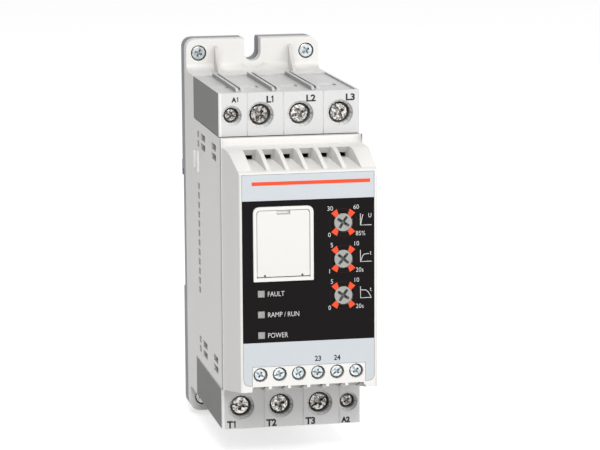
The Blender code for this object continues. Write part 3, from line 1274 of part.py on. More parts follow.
def heat_sink():
    """Extruded heat sink: a plate for the modules and upright fins back to the rear plate."""
    half = INNER_HALF - GAP
    rear = BASE_FRONT_Y - GAP
    plate_front = SINK_FRONT_Y
    plate_rear = plate_front + SINK_PLATE
    space = (2 * half - FIN_THICKNESS) / (FIN_COUNT - 1)
    outline = [(-half, plate_front)]
    for i in range(FIN_COUNT):
        left = -half + i * space
        if i > 0:
            outline.append((left, plate_rear))
        outline += [(left, rear), (left + FIN_THICKNESS, rear)]
        if i < FIN_COUNT - 1:
            outline.append((left + FIN_THICKNESS, plate_rear))
    outline.append((half, plate_front))
    sink = prism("heat_sink", outline, "Z", INNER_BOTTOM + GAP, INNER_TOP - GAP)
    paint(sink, "alloy")


def power_board():
    """Power board with the six current bars that are soldered to it."""
    half = INNER_HALF - GAP
    low = INNER_BOTTOM + 2 * GAP
    high = INNER_TOP - 2 * GAP
    board = box("power_board", (-half, POWER_BOARD_Y, low), (half, POWER_BOARD_REAR_Y, high))
    bars = []
    for upper, z in ((True, UPPER_SCREW_Z), (False, LOWER_SCREW_Z)):
        way = 1 if upper else -1
        edge = high if upper else low
        for mark, x, sizes in clamps(upper):
            if mark in ("L2", "T2"):
                continue
            reach = bar_reach(z, way, sizes)
            bars.append(current_bar(x, sizes["bar"] / 2, edge, reach, way))
    join(board, gather("current_bars", bars))
    paint(board, "board")


def bar_reach(z, way, sizes):
    """How far a current bar goes into its clamp, just past the cage."""
    return z + way * (sizes["height"] / 2 + GAP)


def current_bar(x, half, edge, reach, way):
    """A flat bar with a foot that is bent back onto the board."""
    foot = edge - way * BAR_FOOT
    outline = [(BAR_FRONT_Y, foot), (BAR_FRONT_Y, reach), (BAR_REAR_Y, reach),
               (BAR_REAR_Y, foot + way * BAR_THICKNESS),
               (POWER_BOARD_Y + SINK, foot + way * BAR_THICKNESS), (POWER_BOARD_Y + SINK, foot)]
    return prism("bar", outline, "X", x - half, x + half, cutter=True)


def centre_bar():
    """One flat bar from the middle upper clamp to the middle lower clamp, with a jog."""
    half = POWER_CLAMP["bar"] / 2
    x = POWER_X[1]
    top = bar_reach(UPPER_SCREW_Z, 1, POWER_CLAMP)
    bottom = bar_reach(LOWER_SCREW_Z, -1, POWER_CLAMP)
    jog = POWER_X[1] * 2.8
    outline = [(x - half, top), (x + half, top), (x + half, jog), (-x + half, -jog), (-x + half, bottom),
               (-x - half, bottom), (-x - half, -jog), (x - half, jog)]
    bar = prism("centre_bar", outline, "Y", BAR_FRONT_Y, BAR_REAR_Y)
    paint(bar, "copper")


def modules_and_relays():
    """Two thyristor modules on the heat sink and two bypass relays on the power board."""
    half, tall = MODULE_SIZE[0] / 2, MODULE_SIZE[1] / 2
    wide, deep, high = RELAY_SIZE
    for number, side in ((1, -1), (2, 1)):
        x = side * MODULE_SPREAD
        module = box("thyristor_module_%d" % number, (x - half, MODULE_FRONT_Y, -tall),
                     (x + half, SINK_FRONT_Y - GAP, tall))
        pins = []
        for z in (-tall / 2, 0.0, tall / 2):
            pins.append(box("pin", (x - PIN_HALF, POWER_BOARD_REAR_Y + GAP, z - PIN_HALF),
                            (x + PIN_HALF, MODULE_FRONT_Y + SINK, z + PIN_HALF), cutter=True))
        join(module, gather("module_pins_%d" % number, pins))
        paint(module, "black")
        x = side * RELAY_X
        relay = box("bypass_relay_%d" % number, (x - wide / 2, POWER_BOARD_Y - GAP - deep, -high / 2),
                    (x + wide / 2, POWER_BOARD_Y - GAP, high / 2))
        paint(relay, "black")


def control_board():
    """Control board with its trimmers, lamps and terminal lugs."""
    rear = CONTROL_BOARD_Y + BOARD_THICKNESS
    half = INNER_HALF - COVER_NARROWING - GAP
    low = CONTROL_BLOCK_BOTTOM
    high = PLATEAU_Z - LOUVRE_DEPTH - LOUVRE_FLOOR_FALL - WALL - GAP
    board = box("control_board", (-half, CONTROL_BOARD_Y, low), (half, rear, high))
    parts = []
    body = TRIMMER_HALF
    for z in adjuster_heights():
        parts.append(box("trimmer", (ADJUSTER_X - body, TRIMMER_Y, z - body),
                         (ADJUSTER_X + body, CONTROL_BOARD_Y + SINK, z + body), cutter=True))
    for z in light_heights():
        parts.append(box("lamp", (LIGHT_X - LAMP_SIZE, CONTROL_BOARD_Y - LAMP_SIZE, z - LAMP_SIZE),
                         (LIGHT_X + LAMP_SIZE, CONTROL_BOARD_Y + SINK, z + LAMP_SIZE), cutter=True))
    width, thick = CONTROL_BAR
    foot = CONTROL_BLOCK_TOP + GAP
    tip = CONTROL_Z - CONTROL_CAGE_HEIGHT / 2
    lug = [(CONTROL_BAR_Y, tip), (CONTROL_WIRE_Y, tip), (CONTROL_WIRE_Y, foot),
           (CONTROL_BOARD_Y + SINK, foot), (CONTROL_BOARD_Y + SINK, foot + thick),
           (CONTROL_BAR_Y, foot + thick)]
    for x in control_positions():
        parts.append(prism("lug", lug, "X", x - width / 2, x + width / 2, cutter=True))
    join(board, gather("board_parts", parts))
    bores = [rod("bore", (ADJUSTER_X, z), ADJUSTER_STEM + GAP / 2, TRIMMER_Y - PAST,
                 CONTROL_BOARD_Y - TRIMMER_FLOOR + GAP, cutter=True) for z in adjuster_heights()]
    cut(board, gather("trimmer_bores", bores))
    paint(board, "board")


def small_inner_parts():
    """The link between the boards, the signal relay and the service socket."""
    rear = CONTROL_BOARD_Y + BOARD_THICKNESS + GAP
    wide, tall = LINK_SIZE
    link = box("board_link", (RELAY_X - wide / 2, rear, RELAY_SIZE[2] / 2 + LINK_RISE),
               (RELAY_X + wide / 2, POWER_BOARD_Y - GAP, RELAY_SIZE[2] / 2 + LINK_RISE + tall))
    paint(link, "black")
    wide, deep, high = SIGNAL_RELAY_SIZE
    relay = box("signal_relay", (DOOR_X - wide / 2, rear, -high), (DOOR_X + wide / 2, rear + deep, 0.0))
    paint(relay, "black")
    wide, tall = (size / 2 for size in SOCKET_SIZE)
    front = COVER_INNER_Y + PORT_DEPTH - PORT_WALL - SOCKET_STAND
    socket = box("service_socket", (DOOR_X - wide, front, SOCKET_Z - tall),
                 (DOOR_X + wide, CONTROL_BOARD_Y - GAP, SOCKET_Z + tall))
    inner = box("socket_mouth", (DOOR_X - wide + SOCKET_RIM, front - PAST, SOCKET_Z - tall + SOCKET_RIM),
                (DOOR_X + wide - SOCKET_RIM, front + SOCKET_DEPTH, SOCKET_Z + tall - SOCKET_RIM),
                cutter=True)
    cut(socket, inner)
    paint(socket, "black")


def main():
    clear_scene()
    new_collection("soft_starter")
    new_collection("cutters")
    mounting_base()
    rail_latch()
    latch_spring()
    body_shell()
    base_screws()
    terminal_block("upper_terminal_block", True)
    terminal_block("lower_terminal_block", False)
    power_terminals()
    front_cover()
    front_label()
    service_door()
    adjusters()
    light_pipes()
    control_terminals()
    heat_sink()
    power_board()
    centre_bar()
    modules_and_relays()
    control_board()
    small_inner_parts()


main()
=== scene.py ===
"""A compact motor soft starter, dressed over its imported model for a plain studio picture."""

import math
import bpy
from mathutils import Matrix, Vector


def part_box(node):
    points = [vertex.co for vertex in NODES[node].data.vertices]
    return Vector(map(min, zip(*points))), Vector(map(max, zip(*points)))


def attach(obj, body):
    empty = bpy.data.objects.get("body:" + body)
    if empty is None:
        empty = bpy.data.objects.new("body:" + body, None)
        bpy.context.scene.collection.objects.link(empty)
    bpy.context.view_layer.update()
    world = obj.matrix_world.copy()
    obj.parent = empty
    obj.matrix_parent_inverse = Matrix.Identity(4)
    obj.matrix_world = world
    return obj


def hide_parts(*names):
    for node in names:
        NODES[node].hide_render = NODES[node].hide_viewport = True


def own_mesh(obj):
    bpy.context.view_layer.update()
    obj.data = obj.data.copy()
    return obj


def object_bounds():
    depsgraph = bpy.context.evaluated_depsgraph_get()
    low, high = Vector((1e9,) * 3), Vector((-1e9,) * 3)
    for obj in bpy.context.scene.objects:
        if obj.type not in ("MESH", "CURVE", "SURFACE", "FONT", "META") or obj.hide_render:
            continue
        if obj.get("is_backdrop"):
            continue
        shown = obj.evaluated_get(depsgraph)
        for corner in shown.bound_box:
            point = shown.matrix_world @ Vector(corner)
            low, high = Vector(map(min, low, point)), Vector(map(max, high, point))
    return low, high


bl_info = {
    "name": "Soft Starter Dressing",
    "version": (1, 0, 0),
    "blender": (4, 5, 0),
    "location": "View3D > Sidebar > Soft Starter",
    "description": "Rounded mouldings, clamp screws, printed film and finishes of a soft starter",
    "category": "Object",
}

import bmesh
import bpy
from bpy.props import FloatProperty, FloatVectorProperty, IntProperty, PointerProperty
from mathutils import Matrix, Vector

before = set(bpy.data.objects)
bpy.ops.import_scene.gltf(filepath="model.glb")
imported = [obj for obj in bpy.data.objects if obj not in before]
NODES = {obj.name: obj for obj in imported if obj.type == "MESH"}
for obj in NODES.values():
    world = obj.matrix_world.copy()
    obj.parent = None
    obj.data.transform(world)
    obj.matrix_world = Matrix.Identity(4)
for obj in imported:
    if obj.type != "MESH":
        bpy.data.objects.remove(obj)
MM = 0.001
SQUARE_MM = MM * MM
BLOCK_MARKS = {"upper": ("A1", "L1", "L2", "L3"), "lower": ("T1", "T2", "T3", "A2")}
MARKS = BLOCK_MARKS["upper"] + BLOCK_MARKS["lower"]
SHAFTS = ("voltage", "ramp_up", "ramp_down")
LIGHTS = ("alarm", "ramp", "supply")
UPRIGHT = (math.radians(90), 0.0, 0.0)
# How close two places are that count as one
NEAR = 0.1 * MM


# Settings that a user would change

def plain_number(name, description, default, **limits):
    """A plain number."""
    return FloatProperty(name=name, description=description, default=default, **limits)


def size(name, description, default):
    """A length in metres."""
    return plain_number(name, description, default, min=0.0, precision=5, subtype="DISTANCE", unit="LENGTH")


def colour(name, description, default):
    """A linear colour."""
    return FloatVectorProperty(name=name, description=description, default=default,
                               size=3, min=0.0, max=1.0, subtype="COLOR")


class MouldingSettings(bpy.types.PropertyGroup):
    """Colours and edges of the plastic mouldings."""
    white: colour("White", "Housing, cover and door", (0.80, 0.788, 0.764))
    block_grey: colour("Block grey", "Terminal blocks", (0.66, 0.66, 0.658))
    # Painted shade: a dark copy of the block grey for the blocks' outer side walls.
    block_side: colour("Block side grey", "Side walls of the terminal blocks", (0.205, 0.205, 0.198))
    rear_grey: colour("Rear grey", "Rear plate behind the housing", (0.225, 0.235, 0.26))
    black: colour("Black", "Rail latch and the moulded parts inside", (0.018, 0.018, 0.019))
    edge: size("Edge rounding", "Rounding of the housing's outer edges", 0.35 * MM)
    fine_edge: size("Fine edge rounding", "Rounding of the cover, the door and small mouldings", 0.2 * MM)
    block_edge: size("Block edge rounding", "Rounding of the terminal blocks", 0.3 * MM)
    seam_edge: size("Seam rounding", "Rounding of the housing and cover where they meet", 0.8 * MM)
    ear_edge: size("Ear rounding", "Rounding of the ears' upper edges", 0.8 * MM)
    well_edge: size("Well chamfer", "Width of the chamfers of the clamp screws' wells", 0.7 * MM)
    door_reach: size("Door reach", "How far the drawn door narrows the gap round it", 0.14 * MM)
    catch_raise: size("Catch raise", "How far the snap catches stand out of the side walls", 0.6 * MM)
    seam_raise: size("Seam raise", "How far the cover's rear rim stands out beside the seam", 0.1 * MM)
    grain: size("Grain", "Size of the moulded surface's grain", 0.25 * MM)


class FilmSettings(bpy.types.PropertyGroup):
    """The printed film on the front."""
    grey: colour("Film grey", "Ground of the film above and below the dark field", (0.56, 0.595, 0.625))
    field: colour("Dark field", "Field behind the door, shafts and lights", (0.0095, 0.0078, 0.0082))
    red: colour("Red ink", "Header line and the wedges round the shafts", (0.87, 0.085, 0.030))
    white: colour("White ink", "Numbers, words and curves on the dark field", (0.66, 0.66, 0.655))
    dark: colour("Dark ink", "Terminal marks", (0.022, 0.021, 0.022))
    field_top: size("Field top", "Height of the dark field's top edge over the rail's centre line", 22.9 * MM)
    field_foot: size("Field foot", "Depth of the dark field's foot under the rail's centre line", 21.1 * MM)
    ink: size("Ink thickness", "How far the ink stands on the surface", 0.02 * MM)
    number_height: size("Number height", "Height of the numbers round the shafts", 1.45 * MM)
    word_height: size("Word height", "Height of the words beside the lights", 1.62 * MM)
    mark_height: size("Mark height", "Height of the terminal marks", 2.1 * MM)
    stroke: size("Added stroke", "How much bolder the terminal marks are than the plain font", 0.1 * MM)


class MetalSettings(bpy.types.PropertyGroup):
    """Screws, cages and the metal parts inside."""
    zinc: colour("Zinc", "Plated clamp screws and cages", (0.78, 0.765, 0.74))
    # Tarnish and blue shade also colour the painted shade in the metals' recesses.
    tarnish: colour("Tarnish", "Darker patches and corners of the plating", (0.085, 0.075, 0.062))
    blue_zinc: colour("Blue zinc", "Plated ear screws and control screws", (0.76, 0.78, 0.78))
    blue_shade: colour("Blue shade", "Darker patches of the blue plating", (0.13, 0.20, 0.235))
    aluminium: colour("Aluminium", "Heat sink", (0.66, 0.67, 0.68))
    copper: colour("Copper", "Centre bar", (0.72, 0.33, 0.18))
    shaft_grey: colour("Shaft grey", "Setting shafts", (0.36, 0.36, 0.345))
    slot_width: size("Slot width", "Slot across the power screws", 0.75 * MM)
    cross_width: size("Cross width", "Arms of the cross in the power screws", 1.35 * MM)
    thread_pitch: size("Thread pitch", "Step of the power screws' threads", 0.7 * MM)
    head_sides: IntProperty(name="Head sides", description="Sides of the round heads", default=40,
                            min=12, max=96)


class StageSettings(bpy.types.PropertyGroup):
    """Camera, lamps and background."""
    lens: plain_number("Lens", "Focal length on a 36 mm wide frame, in millimetres", 165.016, min=20.0)
    yaw: plain_number("Yaw", "Turn of the view to the right", math.radians(11.0547), subtype="ANGLE")
    pitch: plain_number("Pitch", "How far the view looks down", math.radians(9.573), subtype="ANGLE")
    roll: plain_number("Roll", "Tilt of the picture", math.radians(-0.3441), subtype="ANGLE")
    place: FloatVectorProperty(name="Place", description="Where the camera stands", size=3,
                               subtype="TRANSLATION", unit="LENGTH",
                               default=(-0.1611411, -0.9153722, 0.1545094))
    sky: plain_number("Sky", "Strength of the even light from all round", 0.365, min=0.0)
    key: plain_number("Key", "Power of the large lamp in front, at the upper left, in watts", 13.0, min=0.0)
    fill: plain_number("Fill", "Power of the lamp at the right, in watts", 4.6, min=0.0)
    floor: colour("Floor", "Floor of the studio", (0.86, 0.86, 0.86))
    floor_lift: plain_number("Floor lift", "Light added to the floor for the camera alone", 0.62,
                             min=0.0, max=1.0, subtype="FACTOR")


class StarterSettings(bpy.types.PropertyGroup):
    """All settings of the soft starter."""
    moulding: PointerProperty(type=MouldingSettings)
    film: PointerProperty(type=FilmSettings)
    metal: PointerProperty(type=MetalSettings)
    stage: PointerProperty(type=StageSettings)


def settings():
    return bpy.context.scene.soft_starter


# Handling of pieces

def deselect():
    """Leaves nothing selected, in object mode."""
    active = bpy.context.view_layer.objects.active
    if active is not None and active.mode != "OBJECT":
        bpy.ops.object.mode_set(mode="OBJECT")
    bpy.ops.object.select_all(action="DESELECT")


def activate(piece):
    deselect()
    piece.select_set(True)
    bpy.context.view_layer.objects.active = piece


def settle(piece):
    """Puts the object at the origin, unturned and unscaled, with its place in its mesh."""
    activate(piece)
    bpy.ops.object.transform_apply(location=True, rotation=True, scale=True)


def link(name, data):
    """A new object in the scene."""
    thing = bpy.data.objects.new(name, data)
    bpy.context.scene.collection.objects.link(thing)
    return thing


def edit(piece, kind):
    """Opens the piece in edit mode with nothing selected."""
    activate(piece)
    bpy.ops.object.mode_set(mode="EDIT")
    bpy.ops.mesh.select_mode(type=kind)
    bpy.ops.mesh.select_all(action="DESELECT")


def pick(piece, kind, wanted):
    """Selects the faces or edges for which wanted is true, and says how many there are."""
    mesh = bmesh.from_edit_mesh(piece.data)
    found = 0
    for element in mesh.faces if kind == "FACE" else mesh.edges:
        chosen = bool(wanted(element))
        element.select_set(chosen)
        found += chosen
    mesh.select_flush_mode()
    bmesh.update_edit_mesh(piece.data)
    return found


def close(piece):
    bpy.ops.object.mode_set(mode="OBJECT")
    piece.data.update()


def shade(piece):
    """Smooth where it is round, sharp where it is not, with the large plane faces flat."""
    activate(piece)
    bpy.ops.object.shade_smooth_by_angle(angle=math.radians(32))
    for face in piece.data.polygons:
        straight = max(abs(part) for part in face.normal) > 0.99999
        if face.area > (1.0 if straight else 60.0) * SQUARE_MM:
            face.use_smooth = False


def finish_piece(piece, body, material, *replaced):
    """Gives a piece its finish and its body, and hides the nodes it stands for."""
    piece.data.materials.clear()
    piece.data.materials.append(material)
    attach(piece, body)
    if replaced:
        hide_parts(*replaced)


def own_copy(node, name):
    """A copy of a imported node's mesh, merged, with its flat faces joined up."""
    piece = link(name, NODES[node].data.copy())
    edit(piece, "VERT")
    bpy.ops.mesh.select_all(action="SELECT")
    bpy.ops.mesh.remove_doubles(threshold=0.002 * MM)
    bpy.ops.mesh.dissolve_limited(angle_limit=math.radians(0.6))
    close(piece)
    return piece


def block(name, spans, place):
    """A box of the given size about a place."""
    deselect()
    bpy.ops.mesh.primitive_cube_add(size=1.0)
    piece = bpy.context.object
    piece.name = name
    piece.scale = spans
    piece.location = place
    settle(piece)
    return piece


def bevel_picked(piece, width, segments, wanted):
    """Rounds the sharp outer edges for which wanted is true."""
    edit(piece, "EDGE")
    if pick(piece, "EDGE", lambda edge: edge.is_manifold and edge.is_convex
            and edge.calc_face_angle(0.0) > math.radians(35) and wanted(edge)):
        bpy.ops.mesh.bevel(offset_type="OFFSET", offset=width, segments=segments, profile=0.5,
                           affect="EDGES", clamp_overlap=True, miter_outer="SHARP")
    close(piece)


def round_edges(piece, width):
    """Rounds the outer edges that are long enough and lie between faces wide enough for it."""
    def wanted(edge):
        length = edge.calc_length()
        return length >= width * 2.5 and all(face.calc_area() / max(length, 1e-9) > width * 2.2
                                             for face in edge.link_faces)

    bevel_picked(piece, width, 2, wanted)


def moulding(node, name, body, material, width, *softened):
    """A rounded copy of a packed moulding that stands for it.

    Each of softened is a width, a number of segments and a test of a place: the edges with
    both ends at such places are rounded by that much.
    """
    piece = own_copy(node, name)
    for wide, segments, there in softened:
        bevel_picked(piece, wide, segments, lambda edge: all(there(v.co) for v in edge.verts))
    round_edges(piece, width)
    shade(piece)
    finish_piece(piece, body, material, node)
    return piece


def cut_with(piece, cutter):
    """Takes the cutter's shape out of the piece, and the cutter away."""
    activate(piece)
    modifier = piece.modifiers.new("cut", "BOOLEAN")
    modifier.operation = "DIFFERENCE"
    modifier.solver = "EXACT"
    modifier.object = cutter
    bpy.ops.object.modifier_apply(modifier=modifier.name)
    bpy.data.objects.remove(cutter, do_unlink=True)


def join(name, pieces):
    """Several pieces as one."""
    deselect()
    for piece in pieces:
        piece.select_set(True)
    bpy.context.view_layer.objects.active = pieces[0]
    bpy.ops.object.join()
    pieces[0].name = name
    return pieces[0]


def face_middle(node):
    """The middle of the front of a node's box."""
    low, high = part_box(node)
    return Vector(((low.x + high.x) / 2, low.y, (low.z + high.z) / 2))


# Shared effects, as node groups

def new_group(name, inputs, outputs):
    group = bpy.data.node_groups.new(name, "ShaderNodeTree")
    for label, default in inputs:
        socket = group.interface.new_socket(label, in_out="INPUT", socket_type="NodeSocketFloat")
        socket.default_value = default
    for label in outputs:
        group.interface.new_socket(label, in_out="OUTPUT", socket_type="NodeSocketFloat")
    return group, group.nodes.new("NodeGroupInput").outputs, group.nodes.new("NodeGroupOutput").inputs


def calculate(tree, operation, first, second, clamp=False):
    """A Math node of two values, each a socket or a number."""
    node = tree.nodes.new("ShaderNodeMath")
    node.operation = operation
    node.use_clamp = clamp
    for index, value in enumerate((first, second)):
        if isinstance(value, (int, float)):
            node.inputs[index].default_value = value
        else:
            tree.links.new(value, node.inputs[index])
    return node.outputs[0]


def noise_at(tree, scale, detail=3.0, roughness=0.55):
    """Noise on Object coordinates; scale is a socket or a number."""
    place = tree.nodes.new("ShaderNodeTexCoord")
    noise = tree.nodes.new("ShaderNodeTexNoise")
    noise.inputs["Detail"].default_value = detail
    noise.inputs["Roughness"].default_value = roughness
    tree.links.new(place.outputs["Object"], noise.inputs["Vector"])
    if isinstance(scale, (int, float)):
        noise.inputs["Scale"].default_value = scale
    else:
        tree.links.new(scale, noise.inputs["Scale"])
    return noise.outputs["Fac"]


def normal_part(tree, axis):
    """One part of the surface's own normal."""
    surface = tree.nodes.new("ShaderNodeNewGeometry")
    split = tree.nodes.new("ShaderNodeSeparateXYZ")
    tree.links.new(surface.outputs["Normal"], split.inputs[0])
    return split.outputs[axis]


def grain_group():
    """Fine moulded grain, and slow clouds of tone over the surface."""
    group, start, end = new_group("moulded grain", (("Grain", 0.25 * MM), ("Cloud", 14 * MM)),
                                  ("Height", "Clouds"))
    fine = noise_at(group, calculate(group, "DIVIDE", 1.0, start["Grain"]), 2.0)
    slow = noise_at(group, calculate(group, "DIVIDE", 1.0, start["Cloud"]), 4.0)
    group.links.new(fine, end["Height"])
    group.links.new(slow, end["Clouds"])
    return group


def wear_group():
    """Rubbed edges: where the rounded normal leaves the surface's own."""
    group, start, end = new_group("edge wear", (("Radius", 0.3 * MM), ("Amount", 3.0)), ("Mask",))
    bevel = group.nodes.new("ShaderNodeBevel")
    bevel.samples = 6
    group.links.new(start["Radius"], bevel.inputs["Radius"])
    surface = group.nodes.new("ShaderNodeNewGeometry")
    dot = group.nodes.new("ShaderNodeVectorMath")
    dot.operation = "DOT_PRODUCT"
    group.links.new(bevel.outputs["Normal"], dot.inputs[0])
    group.links.new(surface.outputs["Normal"], dot.inputs[1])
    turned = calculate(group, "SUBTRACT", 1.0, dot.outputs["Value"])
    broken = calculate(group, "MULTIPLY", noise_at(group, 900.0, 4.0, 0.7), start["Amount"])
    rubbed_and_highlighted = calculate(group, "MULTIPLY", turned, broken)
    group.links.new(calculate(group, "MINIMUM", rubbed_and_highlighted, 1.0, True), end["Mask"])
    return group


def dust_group():
    """A trace of dust on what faces up."""
    group, start, end = new_group("settled dust", (("Amount", 0.15),), ("Mask",))
    up = calculate(group, "MAXIMUM", normal_part(group, "Z"), 0.0)
    patchy = calculate(group, "MULTIPLY", up, noise_at(group, 260.0, 5.0, 0.7))
    group.links.new(calculate(group, "MULTIPLY", patchy, start["Amount"], True), end["Mask"])
    return group


def left_shade_group():
    """Painted shade on surfaces that are turned to the left, more the further they are turned."""
    group, start, end = new_group("painted shade on left faces", (("Amount", 1.0),), ("Mask",))
    turned = calculate(group, "MULTIPLY", normal_part(group, "X"), -1.25)
    left = calculate(group, "SUBTRACT", turned, 0.15, True)
    group.links.new(calculate(group, "MULTIPLY", left, start["Amount"], True), end["Mask"])
    return group


def recess_shade_group():
    """Painted shade in recesses, from ambient occlusion."""
    group, start, end = new_group("painted shade in corners", (("Reach", 1.0 * MM), ("Amount", 1.0)), ("Mask",))
    shelter = group.nodes.new("ShaderNodeAmbientOcclusion")
    shelter.samples = 8
    group.links.new(start["Reach"], shelter.inputs["Distance"])
    hidden = calculate(group, "SUBTRACT", 1.0, shelter.outputs["AO"])
    patchy = calculate(group, "ADD", noise_at(group, 1400.0, 4.0, 0.7), 0.35)
    spread = calculate(group, "MULTIPLY", hidden, patchy)
    group.links.new(calculate(group, "MULTIPLY", spread, start["Amount"], True), end["Mask"])
    return group


def mottle_group():
    """Patches with clear edges, from 0 to 1."""
    group, start, end = new_group("mottled plating", (("Patch", 0.5 * MM),), ("Mask",))
    cloud = noise_at(group, calculate(group, "DIVIDE", 1.0, start["Patch"]), 3.0, 0.65)
    node = group.nodes.new("ShaderNodeMapRange")
    node.inputs["From Min"].default_value = 0.42
    node.inputs["From Max"].default_value = 0.57
    group.links.new(cloud, node.inputs["Value"])
    group.links.new(node.outputs["Result"], end["Mask"])
    return group


GROUP_MAKERS = {"grain": grain_group, "wear": wear_group, "dust": dust_group, "corner": recess_shade_group,
                "mottle": mottle_group, "side": left_shade_group}
GROUPS = {}


def shared(tree, name, **values):
    """The outputs of one of the shared groups, which is built the first time it is asked for."""
    if name not in GROUPS:
        GROUPS[name] = GROUP_MAKERS[name]()
    node = tree.nodes.new("ShaderNodeGroup")
    node.node_tree = GROUPS[name]
    for label, value in values.items():
        node.inputs[label].default_value = value
    return node.outputs


# Finishes

DUST = (0.42, 0.41, 0.385)


def tinted(value, factor):
    return tuple(min(1.0, part * factor) for part in value)


def mix_colours(tree, mask, first, second):
    """Colour from first to second by the mask; each is a socket or a colour."""
    node = tree.nodes.new("ShaderNodeMix")
    node.data_type = "RGBA"
    tree.links.new(mask, node.inputs["Factor"])
    for label, value in (("A", first), ("B", second)):
        socket = next(s for s in node.inputs if s.name == label and s.type == "RGBA")
        if isinstance(value, bpy.types.NodeSocket):
            tree.links.new(value, socket)
        else:
            socket.default_value = (*value, 1.0)
    return next(s for s in node.outputs if s.type == "RGBA")


def uneven(tree, mask, base, spread):
    """The base colour, a little darker and lighter by the mask."""
    return mix_colours(tree, mask, tinted(base, 1.0 - spread), tinted(base, 1.0 + spread))


def new_finish(name):
    material = bpy.data.materials.new(name)
    material.use_nodes = True
    return material, material.node_tree, material.node_tree.nodes["Principled BSDF"]


def complete(tree, shader, tone, gloss, roughness, height, depth):
    """Links a finish's colour, its roughness, from low to high by the gloss mask, and its bump."""
    tree.links.new(tone, shader.inputs["Base Color"])
    spread = tree.nodes.new("ShaderNodeMapRange")
    tree.links.new(gloss, spread.inputs["Value"])
    spread.inputs["To Min"].default_value, spread.inputs["To Max"].default_value = roughness
    tree.links.new(spread.outputs["Result"], shader.inputs["Roughness"])
    bump = tree.nodes.new("ShaderNodeBump")
    bump.inputs["Distance"].default_value = depth
    bump.inputs["Strength"].default_value = 1.0
    tree.links.new(height, bump.inputs["Height"])
    tree.links.new(bump.outputs["Normal"], shader.inputs["Normal"])


def plastic(name, base, roughness=0.36, wear=1.2, dust=0.12, clouds=0.03, corner=0.25, reach=1.0 * MM,
            cloud=14 * MM, shine=0.3, side=0.0):
    """Moulded plastic: grain, slow change of tone, worn edges, dust, and painted shade in corners and on
    faces turned to the left.
    """
    material, tree, shader = new_finish(name)
    shader.inputs["Specular IOR Level"].default_value = shine
    surface = shared(tree, "grain", Grain=settings().moulding.grain, Cloud=cloud)
    tone = uneven(tree, surface["Clouds"], base, clouds)
    tone = mix_colours(tree, shared(tree, "wear", Amount=wear)["Mask"], tone, tinted(base, 1.12))
    tone = mix_colours(tree, shared(tree, "dust", Amount=dust)["Mask"], tone, DUST)
    # Painted shade on the faces turned to the left.
    if side:
        tone = mix_colours(tree, shared(tree, "side", Amount=side)["Mask"], tone, tinted(base, 0.3))
    # Painted shade in recesses, where ambient occlusion finds them.
    recess_shade = shared(tree, "corner", Amount=corner, Reach=reach)["Mask"]
    tone = mix_colours(tree, recess_shade, tone, tinted(base, 0.45))
    complete(tree, shader, tone, surface["Clouds"], (roughness - 0.07, roughness + 0.07),
             surface["Height"], 0.006 * MM)
    return material


def metal(name, base, dark, roughness=0.28, corner=1.6, patches=0.35, patch=0.7 * MM):
    """Plated or drawn metal: patches of tarnish, painted shade in corners, bright worn edges."""
    material, tree, shader = new_finish(name)
    shader.inputs["Metallic"].default_value = 1.0
    surface = shared(tree, "grain", Grain=0.5 * MM, Cloud=1.6 * MM)
    patchy = calculate(tree, "MULTIPLY", shared(tree, "mottle", Patch=patch)["Mask"], patches)
    tone = mix_colours(tree, patchy, base, dark)
    # Painted shade in recesses, in the darker colour.
    tone = mix_colours(tree, shared(tree, "corner", Amount=corner, Reach=0.8 * MM)["Mask"], tone, dark)
    rubbed_and_highlighted = shared(tree, "wear", Amount=4.0, Radius=0.15 * MM)["Mask"]
    tone = mix_colours(tree, rubbed_and_highlighted, tone, tinted(base, 1.15))
    complete(tree, shader, tone, surface["Clouds"], (roughness - 0.1, roughness + 0.16),
             surface["Height"], 0.01 * MM)
    return material


def printed(name, base, roughness=0.35, speckle=0.05, dust=0.06, shine=0.5):
    """Ink or printed film: slight unevenness of tone and gloss."""
    material, tree, shader = new_finish(name)
    shader.inputs["Specular IOR Level"].default_value = shine
    surface = shared(tree, "grain", Grain=0.12 * MM, Cloud=5 * MM)
    tone = uneven(tree, surface["Clouds"], base, speckle)
    tone = mix_colours(tree, shared(tree, "dust", Amount=dust)["Mask"], tone, DUST)
    complete(tree, shader, tone, surface["Height"], (roughness - 0.06, roughness + 0.06),
             surface["Height"], 0.002 * MM)
    return material


def frosted_clear(name, base, light):
    """Frosted clear plastic of the light pipes."""
    material, tree, shader = new_finish(name)
    shader.inputs["Coat Weight"].default_value = 0.4
    surface = shared(tree, "grain", Grain=0.3 * MM, Cloud=1.2 * MM)
    tone = mix_colours(tree, surface["Clouds"], base, light)
    complete(tree, shader, tone, surface["Height"], (0.18, 0.34), surface["Height"], 0.01 * MM)
    return material


def circuit_board(name, base, light, tracks):
    """Green solder mask with tracks showing through as slightly raised, lighter lines."""
    material, tree, shader = new_finish(name)
    place = tree.nodes.new("ShaderNodeTexCoord")
    bricks = tree.nodes.new("ShaderNodeTexBrick")
    for label, value in (("Scale", 420.0), ("Mortar Size", 0.06), ("Bias", -0.4)):
        bricks.inputs[label].default_value = value
    tree.links.new(place.outputs["Object"], bricks.inputs["Vector"])
    surface = shared(tree, "grain", Grain=0.2 * MM, Cloud=6 * MM)
    tone = mix_colours(tree, surface["Clouds"], base, light)
    tone = mix_colours(tree, bricks.outputs["Fac"], tone, tracks)
    complete(tree, shader, tone, surface["Height"], (0.25, 0.4), bricks.outputs["Fac"], 0.03 * MM)
    return material


